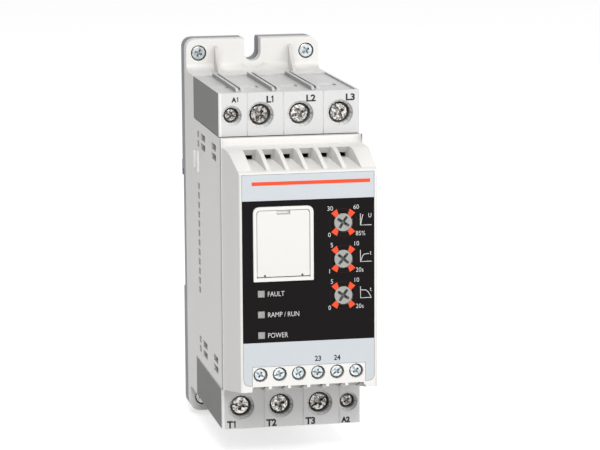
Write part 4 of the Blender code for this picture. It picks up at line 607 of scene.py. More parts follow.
def recipes():
    """How each finish is made: by what, from which colour, and what differs from the usual."""
    body = settings().moulding
    film = settings().film
    parts = settings().metal
    return {
        # Painted shade in the white moulding's recesses and on its faces turned to the left.
        "white moulding": (plastic, body.white, dict(corner=0.8, reach=3.0 * MM, side=0.09)),
        # A darker copy of the white: painted shade.
        "shaded white": (plastic, tinted(body.white, 0.52), dict(corner=0.8, reach=3.0 * MM)),
        # A lighter copy of the white: painted light.
        "bright white": (plastic, tinted(body.white, 1.15), dict(corner=0.0)),
        "door white": (plastic, tinted(body.white, 0.96), dict(dust=0.05)),
        # Painted shade in the block grey's recesses and, strongly, on its faces turned to the left, the
        # wells' chamfers among them.
        "block grey": (plastic, body.block_grey, dict(roughness=0.33, wear=0.8, corner=0.3, side=0.85)),
        # A dark copy of the block grey: painted shade on the blocks' outer side walls.
        "block side grey": (plastic, body.block_side, dict(roughness=0.5, wear=2.5, clouds=0.08,
                                                           corner=0.3, cloud=9 * MM, shine=0.1)),
        # A light copy of the block grey: a painted highlight on the blocks' left front edges.
        "block edge grey": (plastic, tinted(body.block_grey, 1.35), dict(roughness=0.3, wear=0.5,
                                                                         corner=0.1)),
        "rear grey": (plastic, body.rear_grey, dict(roughness=0.4, wear=0.9, dust=0.4, shine=0.12)),
        "black moulding": (plastic, body.black, dict(roughness=0.5, wear=0.5, dust=0.04, corner=0.1)),
        # Painted shade in the shafts' crosses.
        "shaft grey": (plastic, parts.shaft_grey, dict(roughness=0.3, wear=1.5, dust=0.03, clouds=0.2,
                                                       cloud=1.2 * MM, corner=3.0)),
        "film grey": (printed, film.grey, dict(roughness=0.38, speckle=0.02)),
        "film field": (printed, film.field, dict(roughness=0.42, speckle=0.08, dust=0.01, shine=0.05)),
        "red ink": (printed, film.red, dict(roughness=0.4, speckle=0.03, dust=0.02, shine=0.2)),
        "white ink": (printed, film.white, dict(roughness=0.4)),
        "faint ink": (printed, (0.034, 0.009, 0.009), dict(roughness=0.42, dust=0.02, shine=0.1)),
        "dark ink": (printed, film.dark, dict(roughness=0.45, dust=0.02, shine=0.2)),
        # The metals take painted shade in their recesses, in their darker colour.
        "zinc": (metal, parts.zinc, dict(dark=parts.tarnish, corner=2.6, patches=0.9, patch=0.55 * MM)),
        "dull zinc": (metal, tinted(parts.zinc, 0.72), dict(dark=parts.tarnish, corner=2.8, patches=1.0,
                                                            patch=0.5 * MM)),
        "blue zinc": (metal, parts.blue_zinc, dict(dark=parts.blue_shade, patches=0.5, patch=0.6 * MM)),
        "spring steel": (metal, (0.50, 0.50, 0.49), dict(dark=(0.16, 0.155, 0.15), roughness=0.24)),
        "aluminium": (metal, parts.aluminium, dict(dark=(0.40, 0.40, 0.40), roughness=0.38, corner=0.5)),
        "copper": (metal, parts.copper, dict(dark=(0.25, 0.12, 0.08), roughness=0.3)),
        "smoked clear": (frosted_clear, (0.22, 0.22, 0.21), dict(light=(0.38, 0.38, 0.365))),
        "circuit board": (circuit_board, (0.010, 0.075, 0.030), dict(light=(0.016, 0.105, 0.042),
                                                                     tracks=(0.030, 0.16, 0.070))),
    }


FINISHES = {}


def finish(name):
    """One of the finishes, made the first time it is asked for."""
    if name not in FINISHES:
        maker, base, values = recipes()[name]
        FINISHES[name] = maker(name, base, **values)
    return FINISHES[name]


# Print

CAPITAL_SHARE = 0.729
THINNER = -0.012 * MM
FLAGGED_ONE = ((0.16, 0.0), (0.34, 0.0), (0.34, 1.0), (0.2, 1.0), (0.0, 0.82), (0.0, 0.66), (0.16, 0.76))


def settle_print(piece, x, y, z):
    """Makes flat work a mesh, stands it up to face the front, and puts its corner in place."""
    activate(piece)
    bpy.ops.object.convert(target="MESH")
    piece.rotation_euler = UPRIGHT
    piece.location = (x, y, z)
    settle(piece)
    return piece


def letters(words, x, y, z, height, align="LEFT", stretch=1.0, bold=0.0):
    """Raised words whose capitals have the given height, on a baseline at z."""
    deselect()
    bpy.ops.object.text_add()
    piece = bpy.context.object
    text = piece.data
    text.body = words
    text.align_x = align
    text.resolution_u = 3
    text.size = height / CAPITAL_SHARE
    text.offset = bold
    text.extrude = settings().film.ink
    piece.scale = (stretch, 1.0, 1.0)
    return settle_print(piece, x, y, z)


def flat_shape(points, x, y, z):
    """A filled outline of ink, its points given from the place (x, z)."""
    curve = bpy.data.curves.new("ink", "CURVE")
    curve.dimensions = "2D"
    curve.fill_mode = "BOTH"
    curve.extrude = settings().film.ink
    line = curve.splines.new("POLY")
    line.points.add(len(points) - 1)
    for point, (across, up) in zip(line.points, points):
        point.co = (across, up, 0.0, 1.0)
    line.use_cyclic_u = True
    return settle_print(link("ink", curve), x, y, z)


def line_of_ink(points, width, x, y, z):
    """A drawn line: the outline of a stroke of even width along the points."""
    left = []
    right = []
    for index, point in enumerate(points):
        before = Vector(points[max(index - 1, 0)])
        after = Vector(points[min(index + 1, len(points) - 1)])
        along = (after - before).normalized()
        side = Vector((-along.y, along.x)) * (width / 2)
        left.append(Vector(point) + side)
        right.append(Vector(point) - side)
    return flat_shape([tuple(p) for p in left + right[::-1]], x, y, z)


def arc(radius, middle, reach, steps):
    """Points on a circle, to reach degrees on either side of the middle one."""
    angles = [math.radians(middle - reach + 2 * reach * step / steps) for step in range(steps + 1)]
    return [(radius * math.cos(angle), radius * math.sin(angle)) for angle in angles]


# Operators, one for each piece or group of like pieces

class STARTER_OT_housing(bpy.types.Operator):
    """Round the housing's shell and its rear plate"""
    bl_idname = "starter.housing"
    bl_label = "Housing"
    # Each catch's front, top and height
    CATCHES = ((-27.1 * MM, 28.3 * MM, 5.9 * MM), (-34.1 * MM, 28.9 * MM, 7.0 * MM))
    CATCH_LENGTH = 2.0 * MM
    CATCH_ROOT = 1.0 * MM
    SEAM_FRONT = 3.0 * MM
    SEAM_SHADOW_WIDTH = 1.6 * MM
    SEAM_SHADOW_RAISE = 0.05 * MM
    RIM_WIDTH = 0.9 * MM
    BAR_EDGE = 0.1 * MM
    CATCH_EDGE = 0.12 * MM
    # Which edges lie at the seam and at an ear
    SEAM_REACH = 1.2 * MM
    WALL_REACH = 1.0 * MM
    EAR_SHARE = 0.1

    def execute(self, context):
        values = settings().moulding
        low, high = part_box("body_shell")
        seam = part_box("front_cover")[1].y
        moulding("body_shell", "shell_moulding", "housing", finish("white moulding"), values.edge,
                 (values.seam_edge, 2, lambda co: abs(co.y - seam) < self.SEAM_REACH
                  and abs(co.x) > high.x - self.WALL_REACH),
                 (values.ear_edge, 3, lambda co: co.z > high.z - NEAR and co.y < low.y * self.EAR_SHARE))
        moulding("mounting_base", "rear_moulding", "housing", finish("rear grey"), values.edge)
        for number, (front, top, height) in enumerate(self.CATCHES, 1):
            for side, way in (("left", -1), ("right", 1)):
                piece = self.bar("catch_%d_%s" % (number, side), way * high.x, way, self.CATCH_ROOT,
                                 values.catch_raise, front, self.CATCH_LENGTH, top - height, top)
                round_edges(piece, self.CATCH_EDGE)
                shade(piece)
                # Painted light: the catches take the lighter copy of the white.
                finish_piece(piece, "housing", finish("bright white"))
        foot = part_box("lower_terminal_block")[1].z
        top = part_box("upper_terminal_block")[0].z
        seam_front = low.y - self.SEAM_FRONT
        # Painted shadow and highlight: each seam bar is a dark strip in the rear grey where the seam lies in
        # shade, and each rim bar beside it, in the lighter white, is a painted highlight.
        for side, way in (("left", -1), ("right", 1)):
            for stem, raised, front, width, material in (
                    ("seam_", self.SEAM_SHADOW_RAISE, seam_front, self.SEAM_SHADOW_WIDTH, "rear grey"),
                    ("rim_", values.seam_raise, seam_front - self.RIM_WIDTH, self.RIM_WIDTH, "bright white")):
                piece = self.bar(stem + side, way * high.x, way, raised, raised, front, width, foot, top)
                round_edges(piece, self.BAR_EDGE)
                finish_piece(piece, "housing", finish(material))
        return {"FINISHED"}

    def bar(self, name, wall, way, root, raised, front, width, foot, top):
        """An upright bar that is rooted in a side wall and stands a little proud of it."""
        return block(name, (root + raised, width, top - foot),
                     (wall + way * (raised - root) / 2, front + width / 2, (foot + top) / 2))


class STARTER_OT_cover(bpy.types.Operator):
    """Round the front cover and the control terminals' block behind it"""
    bl_idname = "starter.cover"
    bl_label = "Front cover"
    SLOPE_FOOT = 31.5 * MM
    SLOPE_TOP = 36.5 * MM
    SLOPE_REAR = -85.5 * MM
    LOUVRES_END = 19 * MM
    LARGEST_LOUVRE = 30 * SQUARE_MM
    WALL_REACH = 1.0 * MM

    def execute(self, context):
        values = settings().moulding
        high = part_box("front_cover")[1]
        white = finish("white moulding")
        piece = moulding("front_cover", "cover_moulding", "housing", white, values.fine_edge,
                         (values.seam_edge, 2,
                          lambda co: co.y > high.y - NEAR and abs(co.x) > high.x - self.WALL_REACH))
        piece.data.materials.append(finish("shaded white"))
        piece.data.materials.append(finish("bright white"))
        # Painted shade on the louvres' small rear walls, and painted light on the up-facing faces of the
        # slope round them.
        for face in piece.data.polygons:
            place = face.center
            if self.SLOPE_FOOT < place.z < self.SLOPE_TOP and place.y < self.SLOPE_REAR:
                small = face.area < self.LARGEST_LOUVRE and abs(place.x) < self.LOUVRES_END
                if face.normal.y < -0.97 and small:
                    face.material_index = 1
                elif face.normal.z > 0.9:
                    face.material_index = 2
        moulding("control_terminal_block", "control_moulding", "housing", white, values.fine_edge)
        return {"FINISHED"}


class STARTER_OT_blocks(bpy.types.Operator):
    """Round the two terminal blocks"""
    bl_idname = "starter.blocks"
    bl_label = "Terminal blocks"
    GROOVES = {"upper": (-13.5 * MM, -1.905 * MM, 10.795 * MM), "lower": (-8.89 * MM, 3.81 * MM, 15.5 * MM)}
    WELL_ROOM = 0.59 * MM
    EDGE_DEPTH = 0.7 * MM
    # The strip between two ribs, and how far it lies from a groove and inside the block's faces
    RIB_WIDTH = 1.3 * MM
    RIB_THICKNESS = 1.0 * MM
    RIB_LEFT = 1.4 * MM
    RIB_FRONT = 2.2 * MM
    RIB_REAR = 1.0 * MM
    RIB_SINK = 1.25 * MM
    # The strip in a groove
    GROOVE_WIDTH = 0.36 * MM
    GROOVE_THICKNESS = 0.16 * MM
    GROOVE_ENDS = 2.5 * MM
    GROOVE_SINK = 0.2 * MM

    def execute(self, context):
        values = settings().moulding
        for side, grooves in self.GROOVES.items():
            node = side + "_terminal_block"
            low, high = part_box(node)
            piece = own_copy(node, side + "_block_moulding")
            for mark in BLOCK_MARKS[side]:
                self.widen(piece, low.y, "terminal_screw_" + mark, values.well_edge)
            round_edges(piece, values.block_edge)
            shade(piece)
            finish_piece(piece, "housing", finish("block grey"), node)
            piece.data.materials.append(finish("block side grey"))
            piece.data.materials.append(finish("block edge grey"))
            # Painted shade on the blocks' outer side walls.
            for face in piece.data.polygons:
                if abs(face.center.x) > high.x - self.EDGE_DEPTH:
                    sideways = abs(face.normal.x)
                    # A painted highlight on the left front edges.
                    rubbed_and_highlighted = sideways > 0.2 and face.center.x < 0.0
                    face.material_index = 1 if sideways > 0.97 else 2 if rubbed_and_highlighted else 0
            floors = [self.groove_floor(x, low, high) for x in grooves]
            floors += [self.rib_floor(x, low, high, side == "upper") for x in grooves]
            finish_piece(join(side + "_block_grooves", floors), "housing", finish("block grey"))
        return {"FINISHED"}

    def widen(self, piece, front, screw, chamfer):
        """Chamfers the well of a clamp screw."""
        low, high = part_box(screw)
        room = (high.x - low.x) / 2 + self.WELL_ROOM
        middle = face_middle(screw)
        deselect()
        bpy.ops.mesh.primitive_cone_add(vertices=44, radius1=room, radius2=room + 2 * chamfer,
                                        depth=2.8 * chamfer, rotation=UPRIGHT,
                                        location=(middle.x, front, middle.z))
        cone = bpy.context.object
        settle(cone)
        cut_with(piece, cone)

    def rib_floor(self, x, low, high, upper):
        """A strip that makes the channel between two ribs shallow."""
        front = low.y + self.RIB_FRONT
        rear = high.y - self.RIB_REAR
        height = high.z - self.RIB_SINK if upper else low.z + self.RIB_SINK
        return block("floor", (self.RIB_WIDTH, rear - front, self.RIB_THICKNESS),
                     (x - self.RIB_LEFT, (front + rear) / 2, height))

    def groove_floor(self, x, low, high):
        """A strip that makes a groove down a block's front shallow."""
        return block("floor", (self.GROOVE_WIDTH, self.GROOVE_THICKNESS, high.z - low.z - self.GROOVE_ENDS),
                     (x, low.y + self.GROOVE_SINK, (low.z + high.z) / 2))


class STARTER_OT_film(bpy.types.Operator):
    """Make the film with its dark field"""
    bl_idname = "starter.film"
    bl_label = "Film"

    def execute(self, context):
        values = settings().film
        piece = own_copy("front_label", "printed_film")
        for height in (values.field_top, -values.field_foot):
            edit(piece, "FACE")
            bpy.ops.mesh.select_all(action="SELECT")
            bpy.ops.mesh.bisect(plane_co=(0.0, 0.0, height), plane_no=(0.0, 0.0, 1.0))
            close(piece)
        shade(piece)
        finish_piece(piece, "housing", finish("film grey"), "front_label")
        piece.data.materials.append(finish("film field"))
        for face in piece.data.polygons:
            face.material_index = int(-values.field_foot < face.center.z < values.field_top)
        return {"FINISHED"}


class STARTER_OT_print(bpy.types.Operator):
    """Print the film's numbers, words, wedges and curves, and the terminal marks"""
    bl_idname = "starter.print"
    bl_label = "Print"
    DIALS = {"voltage": ("30", "60", "0", "85%"), "ramp_up": ("5", "10", "1", "20s"),
             "ramp_down": ("5", "10", "0", "20s")}
    # Where a dial's numbers stand from its middle, and how far they are stretched
    NUMBER_PLACES = ((-3.1 * MM, 3.75 * MM, "RIGHT", 1.0), (3.1 * MM, 4.0 * MM, "LEFT", 0.95),
                     (-3.85 * MM, -4.4 * MM, "RIGHT", 0.95), (3.85 * MM, -4.2 * MM, "LEFT", 0.92))
    WEDGE = ((-3.76 * MM, 2.9 * MM), (-2.03 * MM, 4.15 * MM), (-1.48 * MM, 2.65 * MM),
             (-2.32 * MM, 1.52 * MM))
    AXES = ((0.0, 3.6 * MM), (0.0, 0.0), (3.5 * MM, 0.0))
    AXES_PLACE = (5.35 * MM, -1.05 * MM)
    AXES_LINE = 0.2 * MM
    # What the axes show: each symbol, its place from the dial's middle
    SYMBOLS = {"voltage": ("U", 7.8 * MM, 1.25 * MM), "ramp_up": ("t", 8.3 * MM, 1.0 * MM),
               "ramp_down": ("t", 8.3 * MM, 1.0 * MM)}
    SYMBOL_STRETCH = 0.75
    # The broken ring round a dial: radius, degrees to each side of a quarter, steps
    RING = (4.25 * MM, 27, 10)
    RING_LINE = 0.15 * MM
    CURVES = {
        "voltage": ((0.1 * MM, 0.1 * MM), (0.45 * MM, 2.0 * MM), (0.8 * MM, 3.3 * MM)),
        "ramp_up": ((0.15 * MM, 0.3 * MM), (0.6 * MM, 1.6 * MM), (1.2 * MM, 2.3 * MM), (2.7 * MM, 2.4 * MM)),
        "ramp_down": ((0.1 * MM, 2.5 * MM), (1.7 * MM, 2.4 * MM), (2.5 * MM, 1.7 * MM), (3.3 * MM, 0.2 * MM)),
    }
    WORDS = ("FAULT", "RAMP / RUN", "POWER")
    WORD_GAP = 0.85 * MM
    WORD_STRETCH = 0.82
    HEADER = ((-17.5 * MM, 0.0), (19.3 * MM, 0.0), (19.3 * MM, 1.1 * MM), (-17.5 * MM, 1.1 * MM))
    HEADER_FOOT = 27.6 * MM
    CONTACTS = {"control_screw_4": "23", "control_screw_5": "24"}
    CONTACT_LEFT = 0.8 * MM
    CONTACT_FOOT = -27.5 * MM
    CONTACT_SHARE = 1.15
    CONTACT_STRETCH = 0.9
    CONTACT_STROKE = 0.05 * MM
    # Marks of each block and size: share of the height, place from the screw's middle, baseline,
    # stretch, share of the added stroke, and share of the height before a drawn one
    MARK_LAYOUT = {"upper small": (0.72, 0.1 * MM, 49.65 * MM, 0.95, 1.0, 1.0),
                   "upper large": (1.0, 1.75 * MM, 49.3 * MM, 1.1, 1.0, 0.78),
                   "lower small": (0.82, -2.0 * MM, -54.6 * MM, 0.95, 1.3, 1.0),
                   "lower large": (1.06, -4.6 * MM, -54.6 * MM, 0.95, 1.3, 0.86)}

    def execute(self, context):
        values = settings().film
        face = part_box("front_label")[0].y - values.ink / 2
        white = []
        red = []
        faint = []
        for name, numbers in self.DIALS.items():
            middle = face_middle("adjuster_" + name)
            x, z = middle.x, middle.z
            for words, (across, up, align, stretch) in zip(numbers, self.NUMBER_PLACES):
                white.append(letters(words, x + across, face, z + up, values.number_height, align,
                                     stretch, THINNER))
            for across, up in ((1, 1), (-1, 1), (1, -1), (-1, -1)):
                red.append(flat_shape([(a * across, b * up) for a, b in self.WEDGE], x, face, z))
            for quarter in (0, 90, 180, 270):
                radius, reach, steps = self.RING
                faint.append(line_of_ink(arc(radius, quarter, reach, steps), self.RING_LINE, x, face, z))
            white += self.curve(values, name, x, face, z)
        for light, words in zip(LIGHTS, self.WORDS):
            low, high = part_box("light_pipe_" + light)
            foot = (low.z + high.z - values.word_height) / 2
            white.append(letters(words, high.x + self.WORD_GAP, face, foot, values.word_height, "LEFT",
                                 self.WORD_STRETCH, THINNER))
        red.append(flat_shape(self.HEADER, 0.0, face, self.HEADER_FOOT))
        dark = [letters(words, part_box(screw)[0].x + self.CONTACT_LEFT, face, self.CONTACT_FOOT,
                        values.number_height * self.CONTACT_SHARE, "LEFT", self.CONTACT_STRETCH,
                        self.CONTACT_STROKE)
                for screw, words in self.CONTACTS.items()]
        dark += self.terminal_marks(values)
        for ink, work in (("white", white), ("red", red), ("faint", faint), ("dark", dark)):
            finish_piece(join("print_" + ink, work), "housing", finish(ink + " ink"))
        return {"FINISHED"}

    def curve(self, values, name, x, face, z):
        """Small axes with the curve that the shaft sets, and its symbol."""
        across, up = self.AXES_PLACE
        symbol, left, base = self.SYMBOLS[name]
        return [line_of_ink(self.AXES, self.AXES_LINE, x + across, face, z + up),
                letters(symbol, x + left, face, z + base, values.number_height, "LEFT",
                        self.SYMBOL_STRETCH),
                line_of_ink(self.CURVES[name], self.AXES_LINE, x + across, face, z + up)]

    def terminal_marks(self, values):
        """The usual letters of the clamps, on the two blocks' fronts."""
        marks = []
        for mark in MARKS:
            side = "upper" if mark in BLOCK_MARKS["upper"] else "lower"
            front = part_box(side + "_terminal_block")[0].y - values.ink / 2
            kind = " small" if mark.startswith("A") else " large"
            share, across, base, stretch, bolder, step = self.MARK_LAYOUT[side + kind]
            height = values.mark_height * share
            left = face_middle("terminal_screw_" + mark).x + across
            drawn = mark.endswith("1")
            marks.append(letters(mark[0] if drawn else mark, left, front, base, height, "LEFT", stretch,
                                 values.stroke * bolder))
            if drawn:
                marks.append(flat_shape([(a * height, b * height) for a, b in FLAGGED_ONE],
                                        left + height * step, front, base))
        return marks


class STARTER_OT_door(bpy.types.Operator):
    """Make the small door over the service port"""
    bl_idname = "starter.door"
    bl_label = "Service door"
    # Which of the mesh's points are moved outwards
    EDGE_IN = 0.65 * MM
    EDGE_BAND = 1.2 * MM
    TOP_BAND = 0.6 * MM
    FOOT_BAND = 0.05 * MM
    # The finger notch's slits: place from the door's middle, depth under its top, width, height
    SLITS = ((-0.2 * MM, 1.0 * MM, 3.6 * MM, 0.3 * MM), (1.85 * MM, 0.75 * MM, 0.6 * MM, 0.9 * MM))
    SLIT_DEPTH = 1.1 * MM
    SLIT_TAPER = 0.9
    # The sill: how much shorter than the door, thickness, height, place from the door's lower edge
    SILL_ENDS = 1.4 * MM
    SILL_THICKNESS = 0.15 * MM
    SILL_HEIGHT = 0.3 * MM
    SILL_BACK = 0.085 * MM
    SILL_DOWN = 0.546 * MM

    def execute(self, context):
        values = settings().moulding
        piece = own_copy("service_door", "door_moulding")
        low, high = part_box("service_door")
        middle = (low.x + high.x) / 2
        half = (high.x - low.x) / 2 - self.EDGE_IN
        for vertex in piece.data.vertices:
            across = vertex.co.x - middle
            if abs(across) < half and abs(across) > half - self.EDGE_BAND:
                vertex.co.x += math.copysign(values.door_reach, across)
            if vertex.co.z > high.z - self.TOP_BAND:
                vertex.co.z += values.door_reach
            elif vertex.co.z < low.z + self.FOOT_BAND:
                vertex.co.z -= values.door_reach
        for place, down, across, tall in self.SLITS:
            slit = cutter_box(across, self.SLIT_DEPTH, tall, self.SLIT_TAPER)
            slit.location = (middle + place, low.y, high.z - down)
            settle(slit)
            cut_with(piece, slit)
        round_edges(piece, values.fine_edge)
        shade(piece)
        finish_piece(piece, "door", finish("door white"), "service_door")
        sill = block("door_sill", (high.x - low.x - self.SILL_ENDS, self.SILL_THICKNESS, self.SILL_HEIGHT),
                     (middle, low.y + self.SILL_BACK, low.z - self.SILL_DOWN))
        finish_piece(sill, "housing", finish("door white"))
        return {"FINISHED"}


class STARTER_OT_shafts(bpy.types.Operator):
    """Make the three slotted setting shafts"""
    bl_idname = "starter.shafts"
    bl_label = "Setting shafts"
    TURNS = (33, 40, 35)
    CROSS_REACH = 4.0 * MM
    CROSS_WIDTH = 1.05 * MM
    CROSS_DEPTH = 1.7 * MM
    CROSS_TAPER = 0.62
    EDGE = 0.1 * MM

    def execute(self, context):
        for name, turn in zip(SHAFTS, self.TURNS):
            node = "adjuster_" + name
            piece = own_copy(node, "shaft_" + name + "_moulding")
            middle = face_middle(node)
            for across, up in ((self.CROSS_REACH, self.CROSS_WIDTH), (self.CROSS_WIDTH, self.CROSS_REACH)):
                arm = cutter_box(across, self.CROSS_DEPTH, up, self.CROSS_TAPER)
                arm.location = middle
                settle(arm)
                cut_with(piece, arm)
            round_edges(piece, self.EDGE)
            piece.data.transform(Matrix.Translation(middle) @ Matrix.Rotation(math.radians(turn), 4, "Y")
                                 @ Matrix.Translation(-middle))
            shade(piece)
            finish_piece(piece, "shaft_" + name, finish("shaft grey"), node)
        return {"FINISHED"}


class STARTER_OT_lights(bpy.types.Operator):
    """Make the three light pipes"""
    bl_idname = "starter.lights"
    bl_label = "Light pipes"
    EDGE = 0.12 * MM

    def execute(self, context):
        for name in LIGHTS:
            moulding("light_pipe_" + name, "light_" + name + "_moulding", "housing", finish("smoked clear"),
                     self.EDGE)
        return {"FINISHED"}


# How far a cutter stands out in front of what it cuts
CUTTER_FRONT = 1.0 * MM


def cutter_box(across, deep, up, taper):
    """A box that is as deep as said behind Y 0, and narrower at its far end."""
    deselect()
    bpy.ops.mesh.primitive_cube_add(size=1.0, location=(0.0, (deep - CUTTER_FRONT) / 2, 0.0),
                                    scale=(across, deep + CUTTER_FRONT, up))
    piece = bpy.context.object
    settle(piece)
    edit(piece, "FACE")
    pick(piece, "FACE", lambda face: face.normal.y > 0.9)
    bpy.ops.transform.resize(value=(taper, 1.0, taper), center_override=(0.0, deep, 0.0))
    close(piece)
    return piece


# A screw's thread root as a share of its shank, and its other forms as shares of its head's radius
THREAD_ROOT = 0.86
HEAD_RIM = 0.12
CROSS_REACH = 1.3
CROSS_DEPTH = 0.55
CROSS_TAPER = 0.7
SLOT_REACH = 2.2
SLOT_DEPTH = 0.27


def turned_screw(name, node, height, shank, cross_width, slot_width, pitch):
    """A screw of the node's size, its axis along Y and its face at Y 0: head, slots and thread."""
    low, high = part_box(node)
    head = (high.x - low.x) / 2
    length = high.y - low.y
    deselect()
    bpy.ops.mesh.primitive_cylinder_add(vertices=settings().metal.head_sides, radius=head, depth=height,
                                        location=(0.0, height / 2, 0.0), rotation=UPRIGHT)
    piece = bpy.context.object
    piece.name = name
    settle(piece)
    edit(piece, "FACE")
    pick(piece, "FACE", lambda face: face.normal.y > 0.9)
    bpy.ops.mesh.inset(thickness=head - shank)
    y = height
    for step in range(int((length - height) / pitch)):
        for scale in (THREAD_ROOT, 1.0 / THREAD_ROOT):
            bpy.ops.mesh.extrude_region_move(TRANSFORM_OT_translate={"value": (0.0, pitch / 2, 0.0)})
            y += pitch / 2
            bpy.ops.transform.resize(value=(scale, 1.0, scale), center_override=(0.0, y, 0.0))
    bpy.ops.mesh.extrude_region_move(TRANSFORM_OT_translate={"value": (0.0, length - y, 0.0)})
    close(piece)
    edit(piece, "EDGE")
    pick(piece, "EDGE", lambda edge: all(abs(v.co.y) < 1e-6 for v in edge.verts))
    bpy.ops.mesh.bevel(offset=head * HEAD_RIM, segments=3, affect="EDGES")
    close(piece)
    reach = head * CROSS_REACH
    cut_with(piece, cutter_box(reach, head * CROSS_DEPTH, cross_width, CROSS_TAPER))
    cut_with(piece, cutter_box(cross_width, head * CROSS_DEPTH, reach, CROSS_TAPER))
    if slot_width:
        cut_with(piece, cutter_box(head * SLOT_REACH, head * SLOT_DEPTH, slot_width, 1.0))
    shade(piece)
    return piece


def place_screw(master, name, node, body, turn, plating):
    """A copy of a screw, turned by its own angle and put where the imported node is."""
    piece = link(name, master.data.copy())
    piece.rotation_euler = (0.0, math.radians(turn), 0.0)
    piece.location = face_middle(node)
    settle(piece)
    finish_piece(piece, body, finish(plating), node)


class STARTER_OT_power_screws(bpy.types.Operator):
    """Make the eight clamp screws of the two blocks"""
    bl_idname = "starter.power_screws"
    bl_label = "Clamp screws"
    TURNS = {"A1": 20, "L1": 38, "L2": -22, "L3": 62, "T1": 12, "T2": 75, "T3": -35, "A2": 50}
    DULL = ("A1", "L1", "T3", "A2")
    HEAD_HEIGHT = 2.7 * MM
    # Each kind's shank as a share of its head
    SHANKS = {"supply": 0.70, "power": 0.62}
    # The head's radius for which the settings give the slot's and cross's widths
    POWER_HEAD = 3.15 * MM

    def execute(self, context):
        values = settings().metal
        masters = {}
        for mark, turn in self.TURNS.items():
            node = "terminal_screw_" + mark
            kind = "supply" if mark.startswith("A") else "power"
            if kind not in masters:
                low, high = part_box(node)
                head = (high.x - low.x) / 2
                masters[kind] = turned_screw(kind + "_screw", node, self.HEAD_HEIGHT,
                                             head * self.SHANKS[kind],
                                             values.cross_width * head / self.POWER_HEAD,
                                             values.slot_width * head / self.POWER_HEAD,
                                             values.thread_pitch)
            place_screw(masters[kind], "clamp_screw_" + mark, node, "screw_" + mark, turn,
                        "dull zinc" if mark in self.DULL else "zinc")
        for master in masters.values():
            bpy.data.objects.remove(master, do_unlink=True)
        return {"FINISHED"}


class STARTER_OT_control_screws(bpy.types.Operator):
    """Make the six control terminal screws"""
    bl_idname = "starter.control_screws"
    bl_label = "Control screws"
    TURNS = (30, -18, 64, 8, -40, 52)
    HEAD_HEIGHT = 1.2 * MM
    SHANK = 0.63
    CROSS_WIDTH = 0.75 * MM
    SLOT_WIDTH = 0.4 * MM
    THREAD_PITCH = 0.45 * MM

    def execute(self, context):
        low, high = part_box("control_screw_1")
        master = turned_screw("small_screw", "control_screw_1", self.HEAD_HEIGHT,
                              (high.x - low.x) / 2 * self.SHANK, self.CROSS_WIDTH, self.SLOT_WIDTH,
                              self.THREAD_PITCH)
        for number, turn in enumerate(self.TURNS, 1):
            place_screw(master, "small_screw_%d" % number, "control_screw_%d" % number,
                        "control_screw_%d" % number, turn, "blue zinc")
        bpy.data.objects.remove(master, do_unlink=True)
        return {"FINISHED"}


class STARTER_OT_base_screws(bpy.types.Operator):
    """Make the four screws through the ears"""
    bl_idname = "starter.base_screws"
    bl_label = "Ear screws"
    TURNS = (25, 58, -12, 40)
    HEAD_HEIGHT = 1.8 * MM
    SHANK_RADIUS = 1.45 * MM
    CROSS_WIDTH = 0.8 * MM
    THREAD_PITCH = 0.6 * MM

    def execute(self, context):
        master = turned_screw("ear_screw", "base_screw_1", self.HEAD_HEIGHT, self.SHANK_RADIUS,
                              self.CROSS_WIDTH, 0.0, self.THREAD_PITCH)
        for number, turn in enumerate(self.TURNS, 1):
            place_screw(master, "ear_screw_%d" % number, "base_screw_%d" % number, "housing", turn,
                        "blue zinc")
        bpy.data.objects.remove(master, do_unlink=True)
        return {"FINISHED"}


class STARTER_OT_cages(bpy.types.Operator):
    """Round the rising cages of all clamps"""
    bl_idname = "starter.cages"
    bl_label = "Clamp cages"
    EDGE = 0.2 * MM
    SMALL_EDGE = 0.1 * MM

    def execute(self, context):
        for mark in MARKS:
            moulding("terminal_cage_" + mark, "clamp_cage_" + mark, "cage_" + mark, finish("zinc"),
                     self.EDGE)
        for number in range(1, 7):
            moulding("control_cage_%d" % number, "small_cage_%d" % number, "control_cage_%d" % number,
                     finish("zinc"), self.SMALL_EDGE)
        return {"FINISHED"}


class STARTER_OT_latch(bpy.types.Operator):
    """Round the rail latch, and finish its spring"""
    bl_idname = "starter.latch"
    bl_label = "Rail latch"
    TRAVEL = 4.5 * MM

    def execute(self, context):
        moulding("rail_latch", "latch_moulding", "latch", finish("black moulding"),
                 settings().moulding.fine_edge)
        spring = own_copy("latch_spring", "spring_wire")
        shade(spring)
        finish_piece(spring, "housing", finish("spring steel"), "latch_spring")
        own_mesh(spring)
        return {"FINISHED"}


class STARTER_OT_inside(bpy.types.Operator):
    """Finish the parts inside the housing, which stay as they are packed"""
    bl_idname = "starter.inside"
    bl_label = "Inside"
    PARTS = {"aluminium": ("heat_sink",), "copper": ("centre_bar",),
             "circuit board": ("power_board", "control_board"),
             "black moulding": ("thyristor_module_1", "thyristor_module_2", "bypass_relay_1",
                                "bypass_relay_2", "board_link", "signal_relay", "service_socket")}

    def execute(self, context):
        for finish_name, nodes in self.PARTS.items():
            for node in nodes:
                piece = NODES[node]
                if not piece.material_slots:
                    piece.data.materials.append(finish(finish_name))
                for slot in piece.material_slots:
                    slot.material = finish(finish_name)
        return {"FINISHED"}


def seen(tree):
    """One for what the camera sees, straight or in a gloss or a clear thing, and otherwise nought."""
    rays = tree.nodes.new("ShaderNodeLightPath").outputs
    mirrored = calculate(tree, "MAXIMUM", rays["Is Glossy Ray"], rays["Is Transmission Ray"])
    return calculate(tree, "MAXIMUM", rays["Is Camera Ray"], mirrored)


